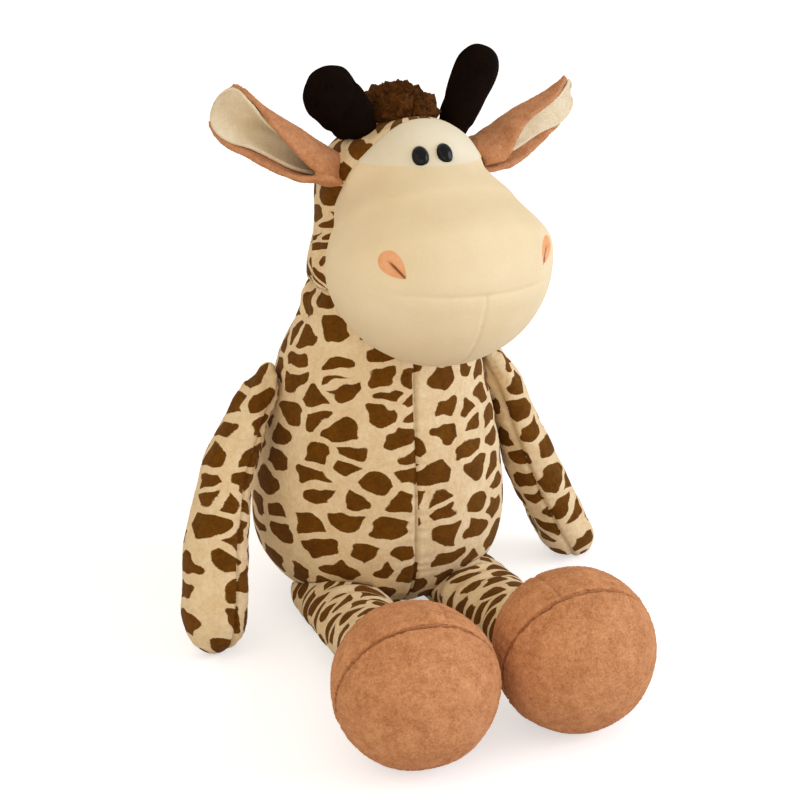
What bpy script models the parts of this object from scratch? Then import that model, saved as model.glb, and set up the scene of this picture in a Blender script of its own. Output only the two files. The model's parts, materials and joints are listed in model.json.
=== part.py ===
"""A plush giraffe that sits on the floor, 29 cm tall to the tips of its horns.

It faces -Y, its left side is +X, and the origin is the middle of the flat seat under its
torso. Each stuffed form is a loft: rings along a spine, closed by round ends. Smaller forms
are cut by the larger ones that they are sewn to, with a seam gap between them. Every moving
form hangs on an empty that stands on its joint.
"""

import math
from collections import namedtuple

import bmesh
import bpy
from mathutils import Matrix, Vector

# Gaps and cuts
SEAM_GAP = 0.0003
JOINT_GAP = 0.0004
FLAT_DEPTH = 0.0005
OVERRUN = 0.006
SLOPE_STEP = 0.001

# Facets
FORM_SIDES = 22
SMALL_SIDES = 16
FORM_RINGS = 12
SMALL_RINGS = 8

# Torso, from the seat up to the neck ball
BELLY_HALF_WIDTH = 0.065
BELLY_HALF_DEPTH = 0.061
BELLY_HEIGHT = 0.050
SEAT_FULLNESS = 2.3
CHEST_HALF_WIDTH = 0.051
CHEST_HALF_DEPTH = 0.048
CHEST_HEIGHT = 0.130
CHEST_SHIFT_BACK = -0.004
NECK_BALL_RADIUS = 0.0395
NECK_BALL_PLACE = Vector((0.003, -0.008, 0.155))
NECK_JOIN_DEG = 12.0

# Head, in its own frame round the neck ball
HEAD_TURN_DEG = 5.0
HEAD_LEAN_DEG = 2.6
NOD_CLEARANCE = 0.005
RIM_HEIGHT = 0.0155
NAPE_HALF_WIDTH = 0.0400
NAPE_HALF_DEPTH = 0.0395
THROAT_HALF_WIDTH = 0.0380
THROAT_HALF_DEPTH = 0.0365
THROAT_HEIGHT = 0.045
CROWN_HALF_WIDTH = 0.0375
CROWN_HALF_DEPTH = 0.0310
CROWN_HEIGHT = 0.0990
CROWN_ROUNDING = 0.026
CROWN_SHIFT_BACK = -0.008

# Face: a pear from the crown down and forward to the chin
FACE_TOP_BACK = -0.011
FACE_TOP_DROP = 0.0015
FACE_TILT_DEG = 34.5
FACE_LENGTH = 0.1205
BROW_PLACE = 0.027
BROW_HALF_WIDTH = 0.0315
BROW_HALF_DEPTH = 0.0295
BROW_ROUNDING = 0.028
CHEEK_PLACE = 0.048
CHEEK_HALF_WIDTH = 0.0450
CHEEK_HALF_DEPTH = 0.0450
CHEEK_BACK = 0.0045
MUZZLE_PLACE = 0.074
MUZZLE_HALF_WIDTH = 0.0550
MUZZLE_HALF_DEPTH = 0.0500
MUZZLE_FORWARD = 0.0035
CHIN_ROUNDING = 0.052
BROW_SEAM_DROP = 0.0175
BROW_SEAM_TILT_DEG = 7.5
MOUTH_SEAM_DROP = 0.060

# Eyes: a domed oval on a stem, locked by a washer behind the fabric
EYE_PLACE = 0.0273
EYE_SPACING = 0.0118
EYE_SHIFT = -0.0042
EYE_HALF_WIDTH = 0.0035
EYE_HALF_HEIGHT = 0.0046
EYE_DOME = 0.0028
EYE_SEAT_DEPTH = 0.0008
EYE_STEM_RADIUS = 0.0016
EYE_STEM_LENGTH = 0.0100
WASHER_RADIUS = 0.0044
WASHER_THICKNESS = 0.0014
WASHER_DEPTH = 0.0060

# Nostril patches
NOSTRIL_PLACE = 0.0805
NOSTRIL_OFFSET = 0.0395
NOSTRIL_LENGTH = 0.0150
NOSTRIL_WIDTH = 0.0105
NOSTRIL_THICKNESS = 0.0012
NOSTRIL_TILT_DEG = 30.0
NOSTRIL_TAPER = 1.3

# Horns: flat paddles on a ball root
RIGHT_HORN_OFFSET = 0.0215
LEFT_HORN_OFFSET = 0.0255
HORN_BACK = -0.010
HORN_LENGTH = 0.039
HORN_HALF_WIDTH = 0.0118
HORN_HALF_THICKNESS = 0.0066
HORN_ROOT_RADIUS = 0.0075
HORN_STAND = 0.0020
RIGHT_HORN_LEAN_DEG = 36.0
LEFT_HORN_LEAN_DEG = 22.0

# Ears: a cupped leaf with a lining, on a ball root
EAR_DROP = 0.0195
EAR_BACK_DEG = 4.0
EAR_STAND = 0.0045
EAR_LENGTH = 0.068
EAR_HALF_WIDTH = 0.0165
EAR_ROOT_HALF_WIDTH = 0.0062
EAR_TIP_HALF_WIDTH = 0.0045
EAR_WIDEST_SHARE = 0.60
EAR_THICKNESS = 0.0026
LINING_THICKNESS = 0.0014
LINING_GAP = 0.0005
LINING_START_SHARE = 0.16
LINING_END_SHARE = 0.955
EAR_ROOT_CURL_DEG = 82.0
EAR_TIP_CURL_DEG = 30.0
EAR_ROOT_RADIUS = 0.0064
RIGHT_EAR_LIFT_DEG = 33.0
LEFT_EAR_LIFT_DEG = 19.0
RIGHT_EAR_SWEEP_DEG = 0.0
LEFT_EAR_SWEEP_DEG = 18.0

# Mane
MANE_HALF_WIDTH = 0.0125
MANE_HEIGHT = 0.0120
MANE_END_ROUNDING = 0.014
MANE_FRONT = -0.016
MANE_FOOT_HEIGHT = 0.0200
NECK_MANE_TOP = 0.162
NECK_MANE_FOOT = 0.108

# Arms, in a frame whose X points out of the chest
RIGHT_SHOULDER_HEIGHT = 0.1185
LEFT_SHOULDER_HEIGHT = 0.1220
SHOULDER_SEAM_RADIUS = 0.009
SHOULDER_SEAM_DEPTH = 0.002
SHOULDER_SEAM_REACH = 0.0065
ARM_ABOVE = 0.0125
ARM_LENGTH = 0.1330
ARM_ROOT_HALF_WIDTH = 0.0125
ARM_ROOT_HALF_THICKNESS = 0.0095
HAND_HALF_WIDTH = 0.0175
HAND_HALF_THICKNESS = 0.0135
HAND_PLACE = 0.100
HAND_ROUNDING = 0.020
RIGHT_ARM_SWING_DEG = 19.0
LEFT_ARM_SWING_DEG = -2.0
ELBOW_PLACE = 0.045
RIGHT_ELBOW_SPREAD = 0.0105
LEFT_ELBOW_SPREAD = 0.0025
RIGHT_HAND_SPREAD = 0.0080
LEFT_HAND_SPREAD = 0.0200

# Legs and feet
HIP_SPACING = 0.066
HIP_FORWARD = 0.044
HIP_HEIGHT = 0.0235
HIP_BALL_RADIUS = 0.0225
HIP_CLEARANCE = 0.0012
HIP_RAISE_DEG = 12.0
HIP_DROP_DEG = 90.0
HIP_TURNS = 6
THIGH_HALF_WIDTH = 0.0195
THIGH_HALF_HEIGHT = 0.0190
ANKLE_HALF_WIDTH = 0.0180
ANKLE_HALF_HEIGHT = 0.0170
FOOT_RADIUS = 0.0380
RIGHT_FOOT_OFFSET = 0.0430
RIGHT_FOOT_FORWARD = 0.1720
LEFT_FOOT_OFFSET = 0.0370
LEFT_FOOT_FORWARD = 0.1660
SOLE_TILT_DEG = 14.0
SOLE_OFFSET = 0.0030

# Tail
TAIL_HEIGHT = 0.0270
TAIL_BALL_RADIUS = 0.0065
TAIL_LENGTH = 0.042
TAIL_HALF_WIDTH = 0.0050
TAIL_DROOP_DEG = 18.0
TUFT_LENGTH = 0.026
TUFT_HALF_WIDTH = 0.0085

Ring = namedtuple("Ring", "centre across along")


class Joint:
    """An empty on a joint's axis, with its world matrix at rest."""

    def __init__(self, name, matrix, parent=None):
        self.matrix = matrix
        self.empty = bpy.data.objects.new(name, None)
        bpy.context.collection.objects.link(self.empty)
        self.empty.matrix_basis = matrix
        if parent:
            self.empty.parent = parent.empty
            self.empty.matrix_basis = parent.matrix.inverted() @ matrix


def clear_scene():
    for item in list(bpy.data.objects):
        bpy.data.objects.remove(item, do_unlink=True)


# Materials


def linear(hex_colour):
    """Linear RGBA of an sRGB colour written as six hex digits."""
    values = [int(hex_colour[i:i + 2], 16) / 255 for i in (0, 2, 4)]
    return [v / 12.92 if v <= 0.04045 else ((v + 0.055) / 1.055) ** 2.4 for v in values] + [1.0]


def add_material(name, hex_colour, roughness):
    material = bpy.data.materials.new(name)
    material.use_nodes = True
    shader = material.node_tree.nodes["Principled BSDF"]
    shader.inputs["Base Color"].default_value = linear(hex_colour)
    shader.inputs["Roughness"].default_value = roughness
    shader.inputs["Metallic"].default_value = 0.0
    material.diffuse_color = linear(hex_colour)
    return material


def add_materials():
    return {
        "print": add_material("giraffe_print_plush", "D9BD8A", 0.95),
        "cream": add_material("cream_plush", "EFE0BC", 0.95),
        "forehead": add_material("pale_cream_plush", "F3E9CF", 0.95),
        "tan": add_material("tan_plush", "C88C5C", 0.95),
        "lining": add_material("ear_lining_plush", "F1E6CC", 0.95),
        "horn": add_material("dark_velvet", "140A05", 0.9),
        "mane": add_material("mane_fur", "5A3410", 1.0),
        "patch": add_material("peach_plush", "F0B07E", 0.95),
        "eye": add_material("black_eye_plastic", "0A0A0A", 0.12),
        "washer": add_material("white_washer_plastic", "F2F2F0", 0.5),
    }


# Curves through named sizes


def spread(count):
    """Shares from 0 to 1, closer together near both ends."""
    return [(1 - math.cos(math.pi * i / count)) / 2 for i in range(count + 1)]


def even(count):
    """Shares from 0 to 1, evenly spaced."""
    return [i / count for i in range(count + 1)]


def between(low, high, share):
    return low + (high - low) * share


def smooth(stations, place):
    """Value at a place on a smooth curve through (place, value) stations, level past its ends."""
    if place <= stations[0][0]:
        return stations[0][1]
    if place >= stations[-1][0]:
        return stations[-1][1]
    rises = [(b[1] - a[1]) / (b[0] - a[0]) for a, b in zip(stations, stations[1:])]
    slopes = [0.0]
    for before, after in zip(rises, rises[1:]):
        slopes.append(2 * before * after / (before + after) if before * after > 0 else 0.0)
    slopes.append(0.0)
    index = max(i for i, station in enumerate(stations) if station[0] <= place)
    (start, first), (end, last) = stations[index], stations[index + 1]
    span = end - start
    t = (place - start) / span
    value = (2 * t ** 3 - 3 * t ** 2 + 1) * first + (3 * t ** 2 - 2 * t ** 3) * last
    value += span * (t ** 3 - 2 * t ** 2 + t) * slopes[index]
    return value + span * (t ** 3 - t ** 2) * slopes[index + 1]


def round_end(distance, rounding):
    """Share of the full size at a distance from a round end."""
    if distance >= rounding:
        return 1.0
    return math.sqrt(max(0.0, 1 - (1 - distance / rounding) ** 2))


# Meshes


def add_mesh(name, points, faces, material=None, joint=None):
    mesh = bpy.data.meshes.new(name)
    mesh.from_pydata(points, [], faces)
    shell = bmesh.new()
    shell.from_mesh(mesh)
    bmesh.ops.recalc_face_normals(shell, faces=shell.faces)
    shell.to_mesh(mesh)
    shell.free()
    mesh.shade_smooth()
    solid = bpy.data.objects.new(name, mesh)
    bpy.context.collection.objects.link(solid)
    if joint:
        solid.parent = joint.empty
    if material:
        mesh.materials.append(material)
    return solid


def add_loft(name, rings, material=None, joint=None, sides=FORM_SIDES):
    """A closed solid through elliptical rings; a ring of no width is a pole."""
    points, loops = [], []
    for ring in rings:
        if ring.across.length == 0:
            loops.append([len(points)])
            points.append(ring.centre)
            continue
        loops.append(list(range(len(points), len(points) + sides)))
        for i in range(sides):
            angle = math.tau * (i + 1 / 2) / sides
            points.append(ring.centre + ring.across * math.cos(angle) + ring.along * math.sin(angle))
    faces = []
    for low, high in zip(loops, loops[1:]):
        for i in range(sides):
            j = (i + 1) % sides
            if len(low) == 1:
                faces.append((low[0], high[i], high[j]))
            elif len(high) == 1:
                faces.append((low[i], low[j], high[0]))
            else:
                faces.append((low[i], low[j], high[j], high[i]))
    faces += [loop for loop in (loops[0], loops[-1]) if len(loop) > 1]
    return add_mesh(name, points, faces, material, joint)


def grow(rings, extra):
    """The same rings with every size larger by extra, poles moved out along the spine."""
    grown = []
    for i, ring in enumerate(rings):
        if ring.across.length == 0:
            inner = rings[1] if i == 0 else rings[-2]
            out = (ring.centre - inner.centre).normalized()
            grown.append(Ring(ring.centre + out * extra, ring.across, ring.along))
        else:
            across = ring.across + ring.across.normalized() * extra
            along = ring.along + ring.along.normalized() * extra
            grown.append(Ring(ring.centre, across, along))
    return grown


def ball_rings(centre, radius, rings=SMALL_RINGS):
    """Rings of a ball round a centre, stacked along X."""
    out = []
    for share in even(rings):
        turn = math.pi * share
        size = radius * math.sin(turn) if 0 < share < 1 else 0
        place = centre - Vector((radius, 0, 0)) * math.cos(turn)
        out.append(Ring(place, Vector((0, size, 0)), Vector((0, 0, size))))
    return out


def add_ball(name, centre, radius, joint=None, sides=FORM_SIDES):
    return add_loft(name, ball_rings(centre, radius, sides // 2), None, joint, sides)


def add_drum(name, start, end, radius, joint=None, sides=SMALL_SIDES, squeeze=1.0):
    """A cylinder between two points; squeeze is its depth as a share of its width."""
    axis = (end - start).normalized()
    across = axis.orthogonal().normalized() * radius
    along = axis.cross(across) * squeeze
    return add_loft(name, [Ring(start, across, along), Ring(end, across, along)], None, joint, sides)


def add_socket(name, radius, joint, sides=FORM_SIDES):
    """The space round a ball on a joint, large enough for its flats to clear the ball."""
    return add_ball(name, Vector(), (radius + JOINT_GAP) / math.cos(math.pi / sides) ** 2, joint, sides)


def add_block(name, point, normal, reach, joint=None):
    """A large block on one side of the plane through a point, on the side its normal points to."""
    normal = normal.normalized()
    across = normal.orthogonal().normalized() * reach
    along = normal.cross(across)
    corners = [point + across * i + along * j + normal * k for k in (0, reach)
               for i, j in ((-1, -1), (1, -1), (1, 1), (-1, 1))]
    faces = [(0, 1, 2, 3), (4, 5, 6, 7), (0, 1, 5, 4), (1, 2, 6, 5), (2, 3, 7, 6), (3, 0, 4, 7)]
    return add_mesh(name, corners, faces, None, joint)


def boolean(solid, tool, operation):
    modifier = solid.modifiers.new(operation.lower() + "_" + tool.name, "BOOLEAN")
    modifier.operation = operation
    modifier.object = tool
    tool.hide_render = True
    tool.display_type = "WIRE"


def cut(solid, *tools):
    for tool in tools:
        boolean(solid, tool, "DIFFERENCE")


def keep_inside(solid, tool):
    boolean(solid, tool, "INTERSECT")


def unite(solid, tool):
    boolean(solid, tool, "UNION")


# Torso


def ball_station(degrees):
    """Height and half width of the neck ball at an angle above its middle."""
    angle = math.radians(degrees)
    height = NECK_BALL_PLACE.z + NECK_BALL_RADIUS * math.sin(angle)
    return height, NECK_BALL_RADIUS * math.cos(angle)


def torso_size(height, belly, chest):
    """Half size of the torso at a height between the belly and the neck ball."""
    stations = [(BELLY_HEIGHT, belly), (CHEST_HEIGHT, chest)]
    stations += [ball_station(NECK_JOIN_DEG), ball_station(2 * NECK_JOIN_DEG)]
    return smooth(stations, height)


def torso_half_width(height):
    return torso_size(height, BELLY_HALF_WIDTH, CHEST_HALF_WIDTH)


def torso_half_depth(height):
    return torso_size(height, BELLY_HALF_DEPTH, CHEST_HALF_DEPTH)


def torso_centre(height):
    join = ball_station(NECK_JOIN_DEG)[0]
    x = smooth([(CHEST_HEIGHT, 0), (join, NECK_BALL_PLACE.x)], height)
    y = smooth([(BELLY_HEIGHT, 0), (CHEST_HEIGHT, CHEST_SHIFT_BACK), (join, NECK_BALL_PLACE.y)], height)
    return Vector((x, y, height))


def torso_ring(height, size_share=1.0, place=None):
    width = torso_half_width(height) * size_share
    depth = torso_half_depth(height) * size_share
    centre = torso_centre(height)
    centre.z = height if place is None else place
    return Ring(centre, Vector((width, 0, 0)), Vector((0, depth, 0)))


def seat_rings():
    """The round underside, from its pole up to the belly."""
    reach = BELLY_HEIGHT + FLAT_DEPTH
    rings = [Ring(Vector((0, 0, -FLAT_DEPTH)), Vector(), Vector())]
    for share in even(FORM_RINGS // 2)[1:]:
        drop = math.cos(math.pi / 2 * share)
        size = (1 - drop ** SEAT_FULLNESS) ** (1 / SEAT_FULLNESS)
        rings.append(torso_ring(BELLY_HEIGHT, size, BELLY_HEIGHT - reach * drop))
    return rings


def torso_rings():
    rings = seat_rings()
    join = ball_station(NECK_JOIN_DEG)[0]
    rings += [torso_ring(between(BELLY_HEIGHT, join, share)) for share in even(FORM_RINGS // 2)[1:]]
    for share in even(FORM_RINGS // 3)[1:-1]:
        height, size = ball_station(between(NECK_JOIN_DEG, 90, share))
        centre = Vector((NECK_BALL_PLACE.x, NECK_BALL_PLACE.y, height))
        rings.append(Ring(centre, Vector((size, 0, 0)), Vector((0, size, 0))))
    top = NECK_BALL_PLACE + Vector((0, 0, NECK_BALL_RADIUS))
    return rings + [Ring(top, Vector(), Vector())]


def neck_guard_rings():
    """Torso rings with room for the nod, from the belly up to the rim of the head."""
    top = NECK_BALL_PLACE.z + RIM_HEIGHT
    heights = [between(BELLY_HEIGHT, top, share) for share in even(FORM_RINGS // 2)]
    return grow([torso_ring(height) for height in heights], NOD_CLEARANCE)


def add_torso(materials, shoulders, hips, tail):
    torso = add_loft("body", torso_rings(), materials["print"])
    reach = BELLY_HALF_WIDTH + OVERRUN
    floor = add_block("seat_plane", Vector((0, 0, 0)), Vector((0, 0, -1)), reach)
    cut(torso, floor)
    for side, joint in shoulders.items():
        inner = Vector((-side * (SHOULDER_SEAM_DEPTH + SEAM_GAP), 0, 0))
        outer = Vector((side * OVERRUN, 0, 0))
        radius = (SHOULDER_SEAM_RADIUS + JOINT_GAP) / math.cos(math.pi / FORM_SIDES)
        cut(torso, add_drum("shoulder_pocket", inner, outer, radius, joint, FORM_SIDES))
    for joint in hips.values():
        cut(torso, add_socket("hip_pocket", HIP_BALL_RADIUS, joint))
    cut(torso, add_socket("tail_pocket", TAIL_BALL_RADIUS, tail, SMALL_SIDES))


# Head


def head_joint():
    turn = Matrix.Rotation(math.radians(HEAD_TURN_DEG), 4, "Z")
    lean = Matrix.Rotation(math.radians(HEAD_LEAN_DEG), 4, "Y")
    return Joint("neck_joint", Matrix.Translation(NECK_BALL_PLACE) @ turn @ lean)


def back_sizes(height):
    """Half width, half depth and centre of the back of the head at a height over the neck ball."""
    round_share = round_end(CROWN_HEIGHT - height, CROWN_ROUNDING)
    crown = CROWN_HEIGHT - CROWN_ROUNDING
    widths = [(RIM_HEIGHT, NAPE_HALF_WIDTH), (THROAT_HEIGHT, THROAT_HALF_WIDTH), (crown, CROWN_HALF_WIDTH)]
    depths = [(RIM_HEIGHT, NAPE_HALF_DEPTH), (THROAT_HEIGHT, THROAT_HALF_DEPTH), (crown, CROWN_HALF_DEPTH)]
    shift = smooth([(RIM_HEIGHT, 0), (CROWN_HEIGHT, CROWN_SHIFT_BACK)], height)
    return smooth(widths, height) * round_share, smooth(depths, height) * round_share, shift


def back_heights():
    crown = CROWN_HEIGHT - CROWN_ROUNDING
    heights = [between(RIM_HEIGHT, crown, share) for share in even(FORM_RINGS // 2)]
    dome = [math.sin(math.pi / 2 * share) for share in even(FORM_RINGS // 2)[1:]]
    return heights + [between(crown, CROWN_HEIGHT, share) for share in dome]


def back_rings():
    rings = []
    for height in back_heights():
        width, depth, shift = back_sizes(height)
        centre = Vector((0, shift, height))
        if height == back_heights()[-1]:
            rings.append(Ring(centre, Vector(), Vector()))
        else:
            rings.append(Ring(centre, Vector((width, 0, 0)), Vector((0, depth, 0))))
    return rings


def crown_height(x, y):
    """Height of the back of the head over a point of its frame, found by halving."""
    low, high = THROAT_HEIGHT, CROWN_HEIGHT
    for _ in range(FORM_SIDES):
        middle = (low + high) / 2
        width, depth, shift = back_sizes(middle)
        inside = (x / width) ** 2 + ((y - shift) / depth) ** 2 < 1
        low, high = (middle, high) if inside else (low, middle)
    return low


def face_axes():
    """Directions down the face and out of its front."""
    tilt = math.radians(FACE_TILT_DEG)
    down = Vector((0, -math.sin(tilt), -math.cos(tilt)))
    front = Vector((0, -math.cos(tilt), math.sin(tilt)))
    return down, front


def face_top():
    return Vector((0, FACE_TOP_BACK, CROWN_HEIGHT - FACE_TOP_DROP))


def face_sizes(place):
    """Half width, half depth and forward shift of the face at a distance below its top."""
    round_share = round_end(place, BROW_ROUNDING) * round_end(FACE_LENGTH - place, CHIN_ROUNDING)
    places = (BROW_PLACE, CHEEK_PLACE, MUZZLE_PLACE)
    width = smooth(list(zip(places, (BROW_HALF_WIDTH, CHEEK_HALF_WIDTH, MUZZLE_HALF_WIDTH))), place)
    depth = smooth(list(zip(places, (BROW_HALF_DEPTH, CHEEK_HALF_DEPTH, MUZZLE_HALF_DEPTH))), place)
    shift = smooth(list(zip(places, (0, -CHEEK_BACK, MUZZLE_FORWARD))), place)
    return width * round_share, depth * round_share, shift


def face_rings(extra=0.0):
    down, front = face_axes()
    top = face_top()
    rings = []
    for share in spread(FORM_RINGS):
        width, depth, shift = face_sizes(FACE_LENGTH * share)
        centre = top + down * FACE_LENGTH * share + front * shift
        if 0 < share < 1:
            rings.append(Ring(centre, Vector((width, 0, 0)), front * depth))
        else:
            rings.append(Ring(centre, Vector(), Vector()))
    return grow(rings, extra) if extra else rings


def face_point(place, offset):
    """A point on the front of the face and the direction out of it."""
    down, front = face_axes()
    width, depth, shift = face_sizes(place)
    top = face_top()
    forward = depth * math.sqrt(1 - (offset / width) ** 2)
    point = top + down * place + front * (shift + forward) + Vector((offset, 0, 0))
    normal = front * (forward / depth ** 2) + Vector((offset / width ** 2, 0, 0))
    return point, normal.normalized()


def face_frame(place, offset):
    """Matrix on the face whose Z points out of it and whose Y points up along it."""
    point, normal = face_point(place, offset)
    up = -face_axes()[0]
    side = up.cross(normal).normalized()
    rotation = Matrix((side, normal.cross(side), normal)).transposed().to_4x4()
    return Matrix.Translation(point) @ rotation


def add_face_cutters(head):
    """What every panel of the face is cut by: the neck ball and the space of the nod."""
    ball = add_socket("neck_socket", NECK_BALL_RADIUS, head)
    guard = add_loft("neck_guard", neck_guard_rings())
    return [ball, guard]


def add_face(materials, head, face_cutters):
    """Forehead, muzzle and the two chin panels, parted by the brow, mouth and chin seams."""
    tilt = math.radians(BROW_SEAM_TILT_DEG)
    up = Vector((0, math.sin(tilt), math.cos(tilt)))
    brow = Vector((0, FACE_TOP_BACK, CROWN_HEIGHT - BROW_SEAM_DROP))
    mouth = Vector((0, 0, CROWN_HEIGHT - MOUTH_SEAM_DROP))
    reach = FACE_LENGTH
    under_brow = add_block("under_brow", brow, -up, reach, head)
    over_brow = add_block("over_brow", brow - up * SEAM_GAP, up, reach, head)
    over_mouth = add_block("over_mouth", mouth, Vector((0, 0, 1)), reach, head)
    lip = mouth + Vector((0, 0, SEAM_GAP))
    under_mouth = add_block("under_mouth", lip, Vector((0, 0, -1)), reach, head)

    forehead = add_loft("forehead", face_rings(), materials["forehead"], head)
    cut(forehead, under_brow, *face_cutters)
    muzzle = add_loft("muzzle", face_rings(), materials["cream"], head)
    cut(muzzle, over_brow, under_mouth, *face_cutters)
    for side, name in ((-1, "right_chin"), (1, "left_chin")):
        chin = add_loft(name, face_rings(), materials["cream"], head)
        middle = Vector((side * SEAM_GAP / 2, 0, 0))
        other_side = add_block(name + "_other_side", middle, Vector((-side, 0, 0)), reach, head)
        cut(chin, over_mouth, other_side, *reversed(face_cutters))
    return forehead, muzzle


def add_head_back(materials, head, face_cutters):
    back = add_loft("head_back", back_rings(), materials["print"], head)
    face_space = add_loft("face_space", face_rings(SEAM_GAP), None, head)
    cut(back, face_space, face_cutters[0])
    return back


def eye_outline(half_width, half_height, level):
    return Ring(Vector((0, 0, level)), Vector((half_width, 0, 0)), Vector((0, half_height, 0)))


def add_eye(name, side, materials, head, carriers):
    """A domed eye with its stem, its washer, and the seat, bore and pocket that they take."""
    matrix = head.matrix @ face_frame(EYE_PLACE, EYE_SHIFT + side * EYE_SPACING / 2)
    spot = Joint(name + "_spot", matrix, head)
    rings = [eye_outline(EYE_HALF_WIDTH, EYE_HALF_HEIGHT, -EYE_SEAT_DEPTH + SEAM_GAP)]
    for share in even(SMALL_RINGS // 2):
        size = math.cos(math.pi / 2 * share)
        level = EYE_DOME * math.sin(math.pi / 2 * share)
        if share < 1:
            rings.append(eye_outline(EYE_HALF_WIDTH * size, EYE_HALF_HEIGHT * size, level))
        else:
            rings.append(Ring(Vector((0, 0, level)), Vector(), Vector()))
    eye = add_loft(name, rings, materials["eye"], spot, SMALL_SIDES)
    stem_end = Vector((0, 0, -EYE_STEM_LENGTH))
    unite(eye, add_drum(name + "_stem", Vector(), stem_end, EYE_STEM_RADIUS, spot))

    seat = [eye_outline(EYE_HALF_WIDTH + SEAM_GAP, EYE_HALF_HEIGHT + SEAM_GAP, level)
            for level in (-EYE_SEAT_DEPTH, OVERRUN)]
    spaces = [add_loft(name + "_seat", seat, None, spot, SMALL_SIDES)]
    gap = Vector((0, 0, SEAM_GAP))
    spaces.append(add_drum(name + "_bore", Vector(), stem_end - gap, EYE_STEM_RADIUS + SEAM_GAP, spot))
    front = Vector((0, 0, -WASHER_DEPTH))
    rear = front - Vector((0, 0, WASHER_THICKNESS))
    spaces.append(add_drum(name + "_pocket", front + gap, rear - gap, WASHER_RADIUS + SEAM_GAP, spot))
    for carrier in carriers:
        cut(carrier, *spaces)

    washer = add_drum(name + "_washer", front, rear, WASHER_RADIUS, spot)
    washer.data.materials.append(materials["washer"])
    hole = EYE_STEM_RADIUS + SEAM_GAP
    cut(washer, add_drum(name + "_washer_hole", front + gap, rear - gap, hole, spot))


def nostril_outline(level, side, extra=0.0):
    """A drop shape with its point down and in towards the mouth."""
    length = NOSTRIL_LENGTH / 2 + extra
    width = NOSTRIL_WIDTH / 2 + extra
    tilt = Matrix.Rotation(math.radians(-90 - side * NOSTRIL_TILT_DEG), 3, "Z")
    points = []
    for i in range(SMALL_SIDES):
        turn = math.tau * i / SMALL_SIDES
        wide = width * math.sin(turn) * math.sin(turn / 2) ** NOSTRIL_TAPER
        flat = Vector((length * math.cos(turn), wide * NOSTRIL_TAPER, 0))
        points.append(tilt @ flat + Vector((0, 0, level)))
    return points


def add_nostril_prism(name, side, extra, joint, material=None):
    """A prism of the drop shape through the skin of the muzzle."""
    low = nostril_outline(-OVERRUN, side, extra)
    high = nostril_outline(OVERRUN, side, extra)
    count = len(low)
    faces = [list(range(count)), list(range(count, 2 * count))]
    faces += [(i, (i + 1) % count, (i + 1) % count + count, i + count) for i in range(count)]
    return add_mesh(name, low + high, faces, material, joint)


def add_nostril(name, side, materials, head, muzzle):
    """A patch let into the muzzle, level with its skin."""
    matrix = head.matrix @ face_frame(NOSTRIL_PLACE, side * NOSTRIL_OFFSET)
    spot = Joint(name + "_spot", matrix, head)
    patch = add_nostril_prism(name, side, 0, spot, materials["patch"])
    keep_inside(patch, add_loft(name + "_skin", face_rings(), None, head))
    cut(patch, add_loft(name + "_inside", face_rings(-NOSTRIL_THICKNESS), None, head))
    recess = add_nostril_prism(name + "_recess", side, SEAM_GAP, spot)
    cut(recess, add_loft(name + "_floor", face_rings(-NOSTRIL_THICKNESS - SEAM_GAP), None, head))
    cut(muzzle, recess)


# Horns and ears


def root_rings(radius, count):
    """The half of a ball root below its middle, as (place, radius) pairs along its spine."""
    turns = [math.pi / 2 * share for share in even(count)[1:]]
    return [(-radius * math.cos(turn), radius * math.sin(turn)) for turn in turns]


def add_horn(name, x, lean_deg, materials, head, carriers):
    """A paddle that swells from a ball root; its joint stands a little off the crown."""
    spot = Vector((x, HORN_BACK, crown_height(x, HORN_BACK)))
    lean = Matrix.Rotation(math.radians(lean_deg), 4, "Y")
    place = Matrix.Translation(spot) @ lean @ Matrix.Translation((0, 0, HORN_STAND))
    joint = Joint(name + "_joint", head.matrix @ place, head)
    rings = [Ring(Vector((0, 0, -HORN_ROOT_RADIUS)), Vector(), Vector())]
    for level, size in root_rings(HORN_ROOT_RADIUS, SMALL_RINGS // 2):
        rings.append(Ring(Vector((0, 0, level)), Vector((size, 0, 0)), Vector((0, size, 0))))
    for share in spread(SMALL_RINGS)[1:]:
        level = HORN_LENGTH * share
        tip = round_end(HORN_LENGTH - level, HORN_HALF_WIDTH)
        width = smooth([(0, HORN_ROOT_RADIUS), (HORN_LENGTH - HORN_HALF_WIDTH, HORN_HALF_WIDTH)], level)
        depth = smooth([(0, HORN_ROOT_RADIUS), (HORN_LENGTH - HORN_HALF_WIDTH, HORN_HALF_THICKNESS)], level)
        centre = Vector((0, 0, level))
        if share < 1:
            rings.append(Ring(centre, Vector((width * tip, 0, 0)), Vector((0, depth * tip, 0))))
        else:
            rings.append(Ring(centre, Vector(), Vector()))
    add_loft(name, rings, materials["horn"], joint, SMALL_SIDES)
    for carrier in carriers:
        cut(carrier, add_socket(name + "_pocket", HORN_ROOT_RADIUS, joint, SMALL_SIDES))


def ear_half_width(share):
    stations = [(0, EAR_ROOT_HALF_WIDTH), (EAR_WIDEST_SHARE, EAR_HALF_WIDTH)]
    past = max(0.0, (share - EAR_WIDEST_SHARE) / (1 - EAR_WIDEST_SHARE))
    tip = EAR_TIP_HALF_WIDTH / EAR_HALF_WIDTH
    return smooth(stations, share) * between(tip, 1, math.sqrt(1 - past ** 2))


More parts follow.
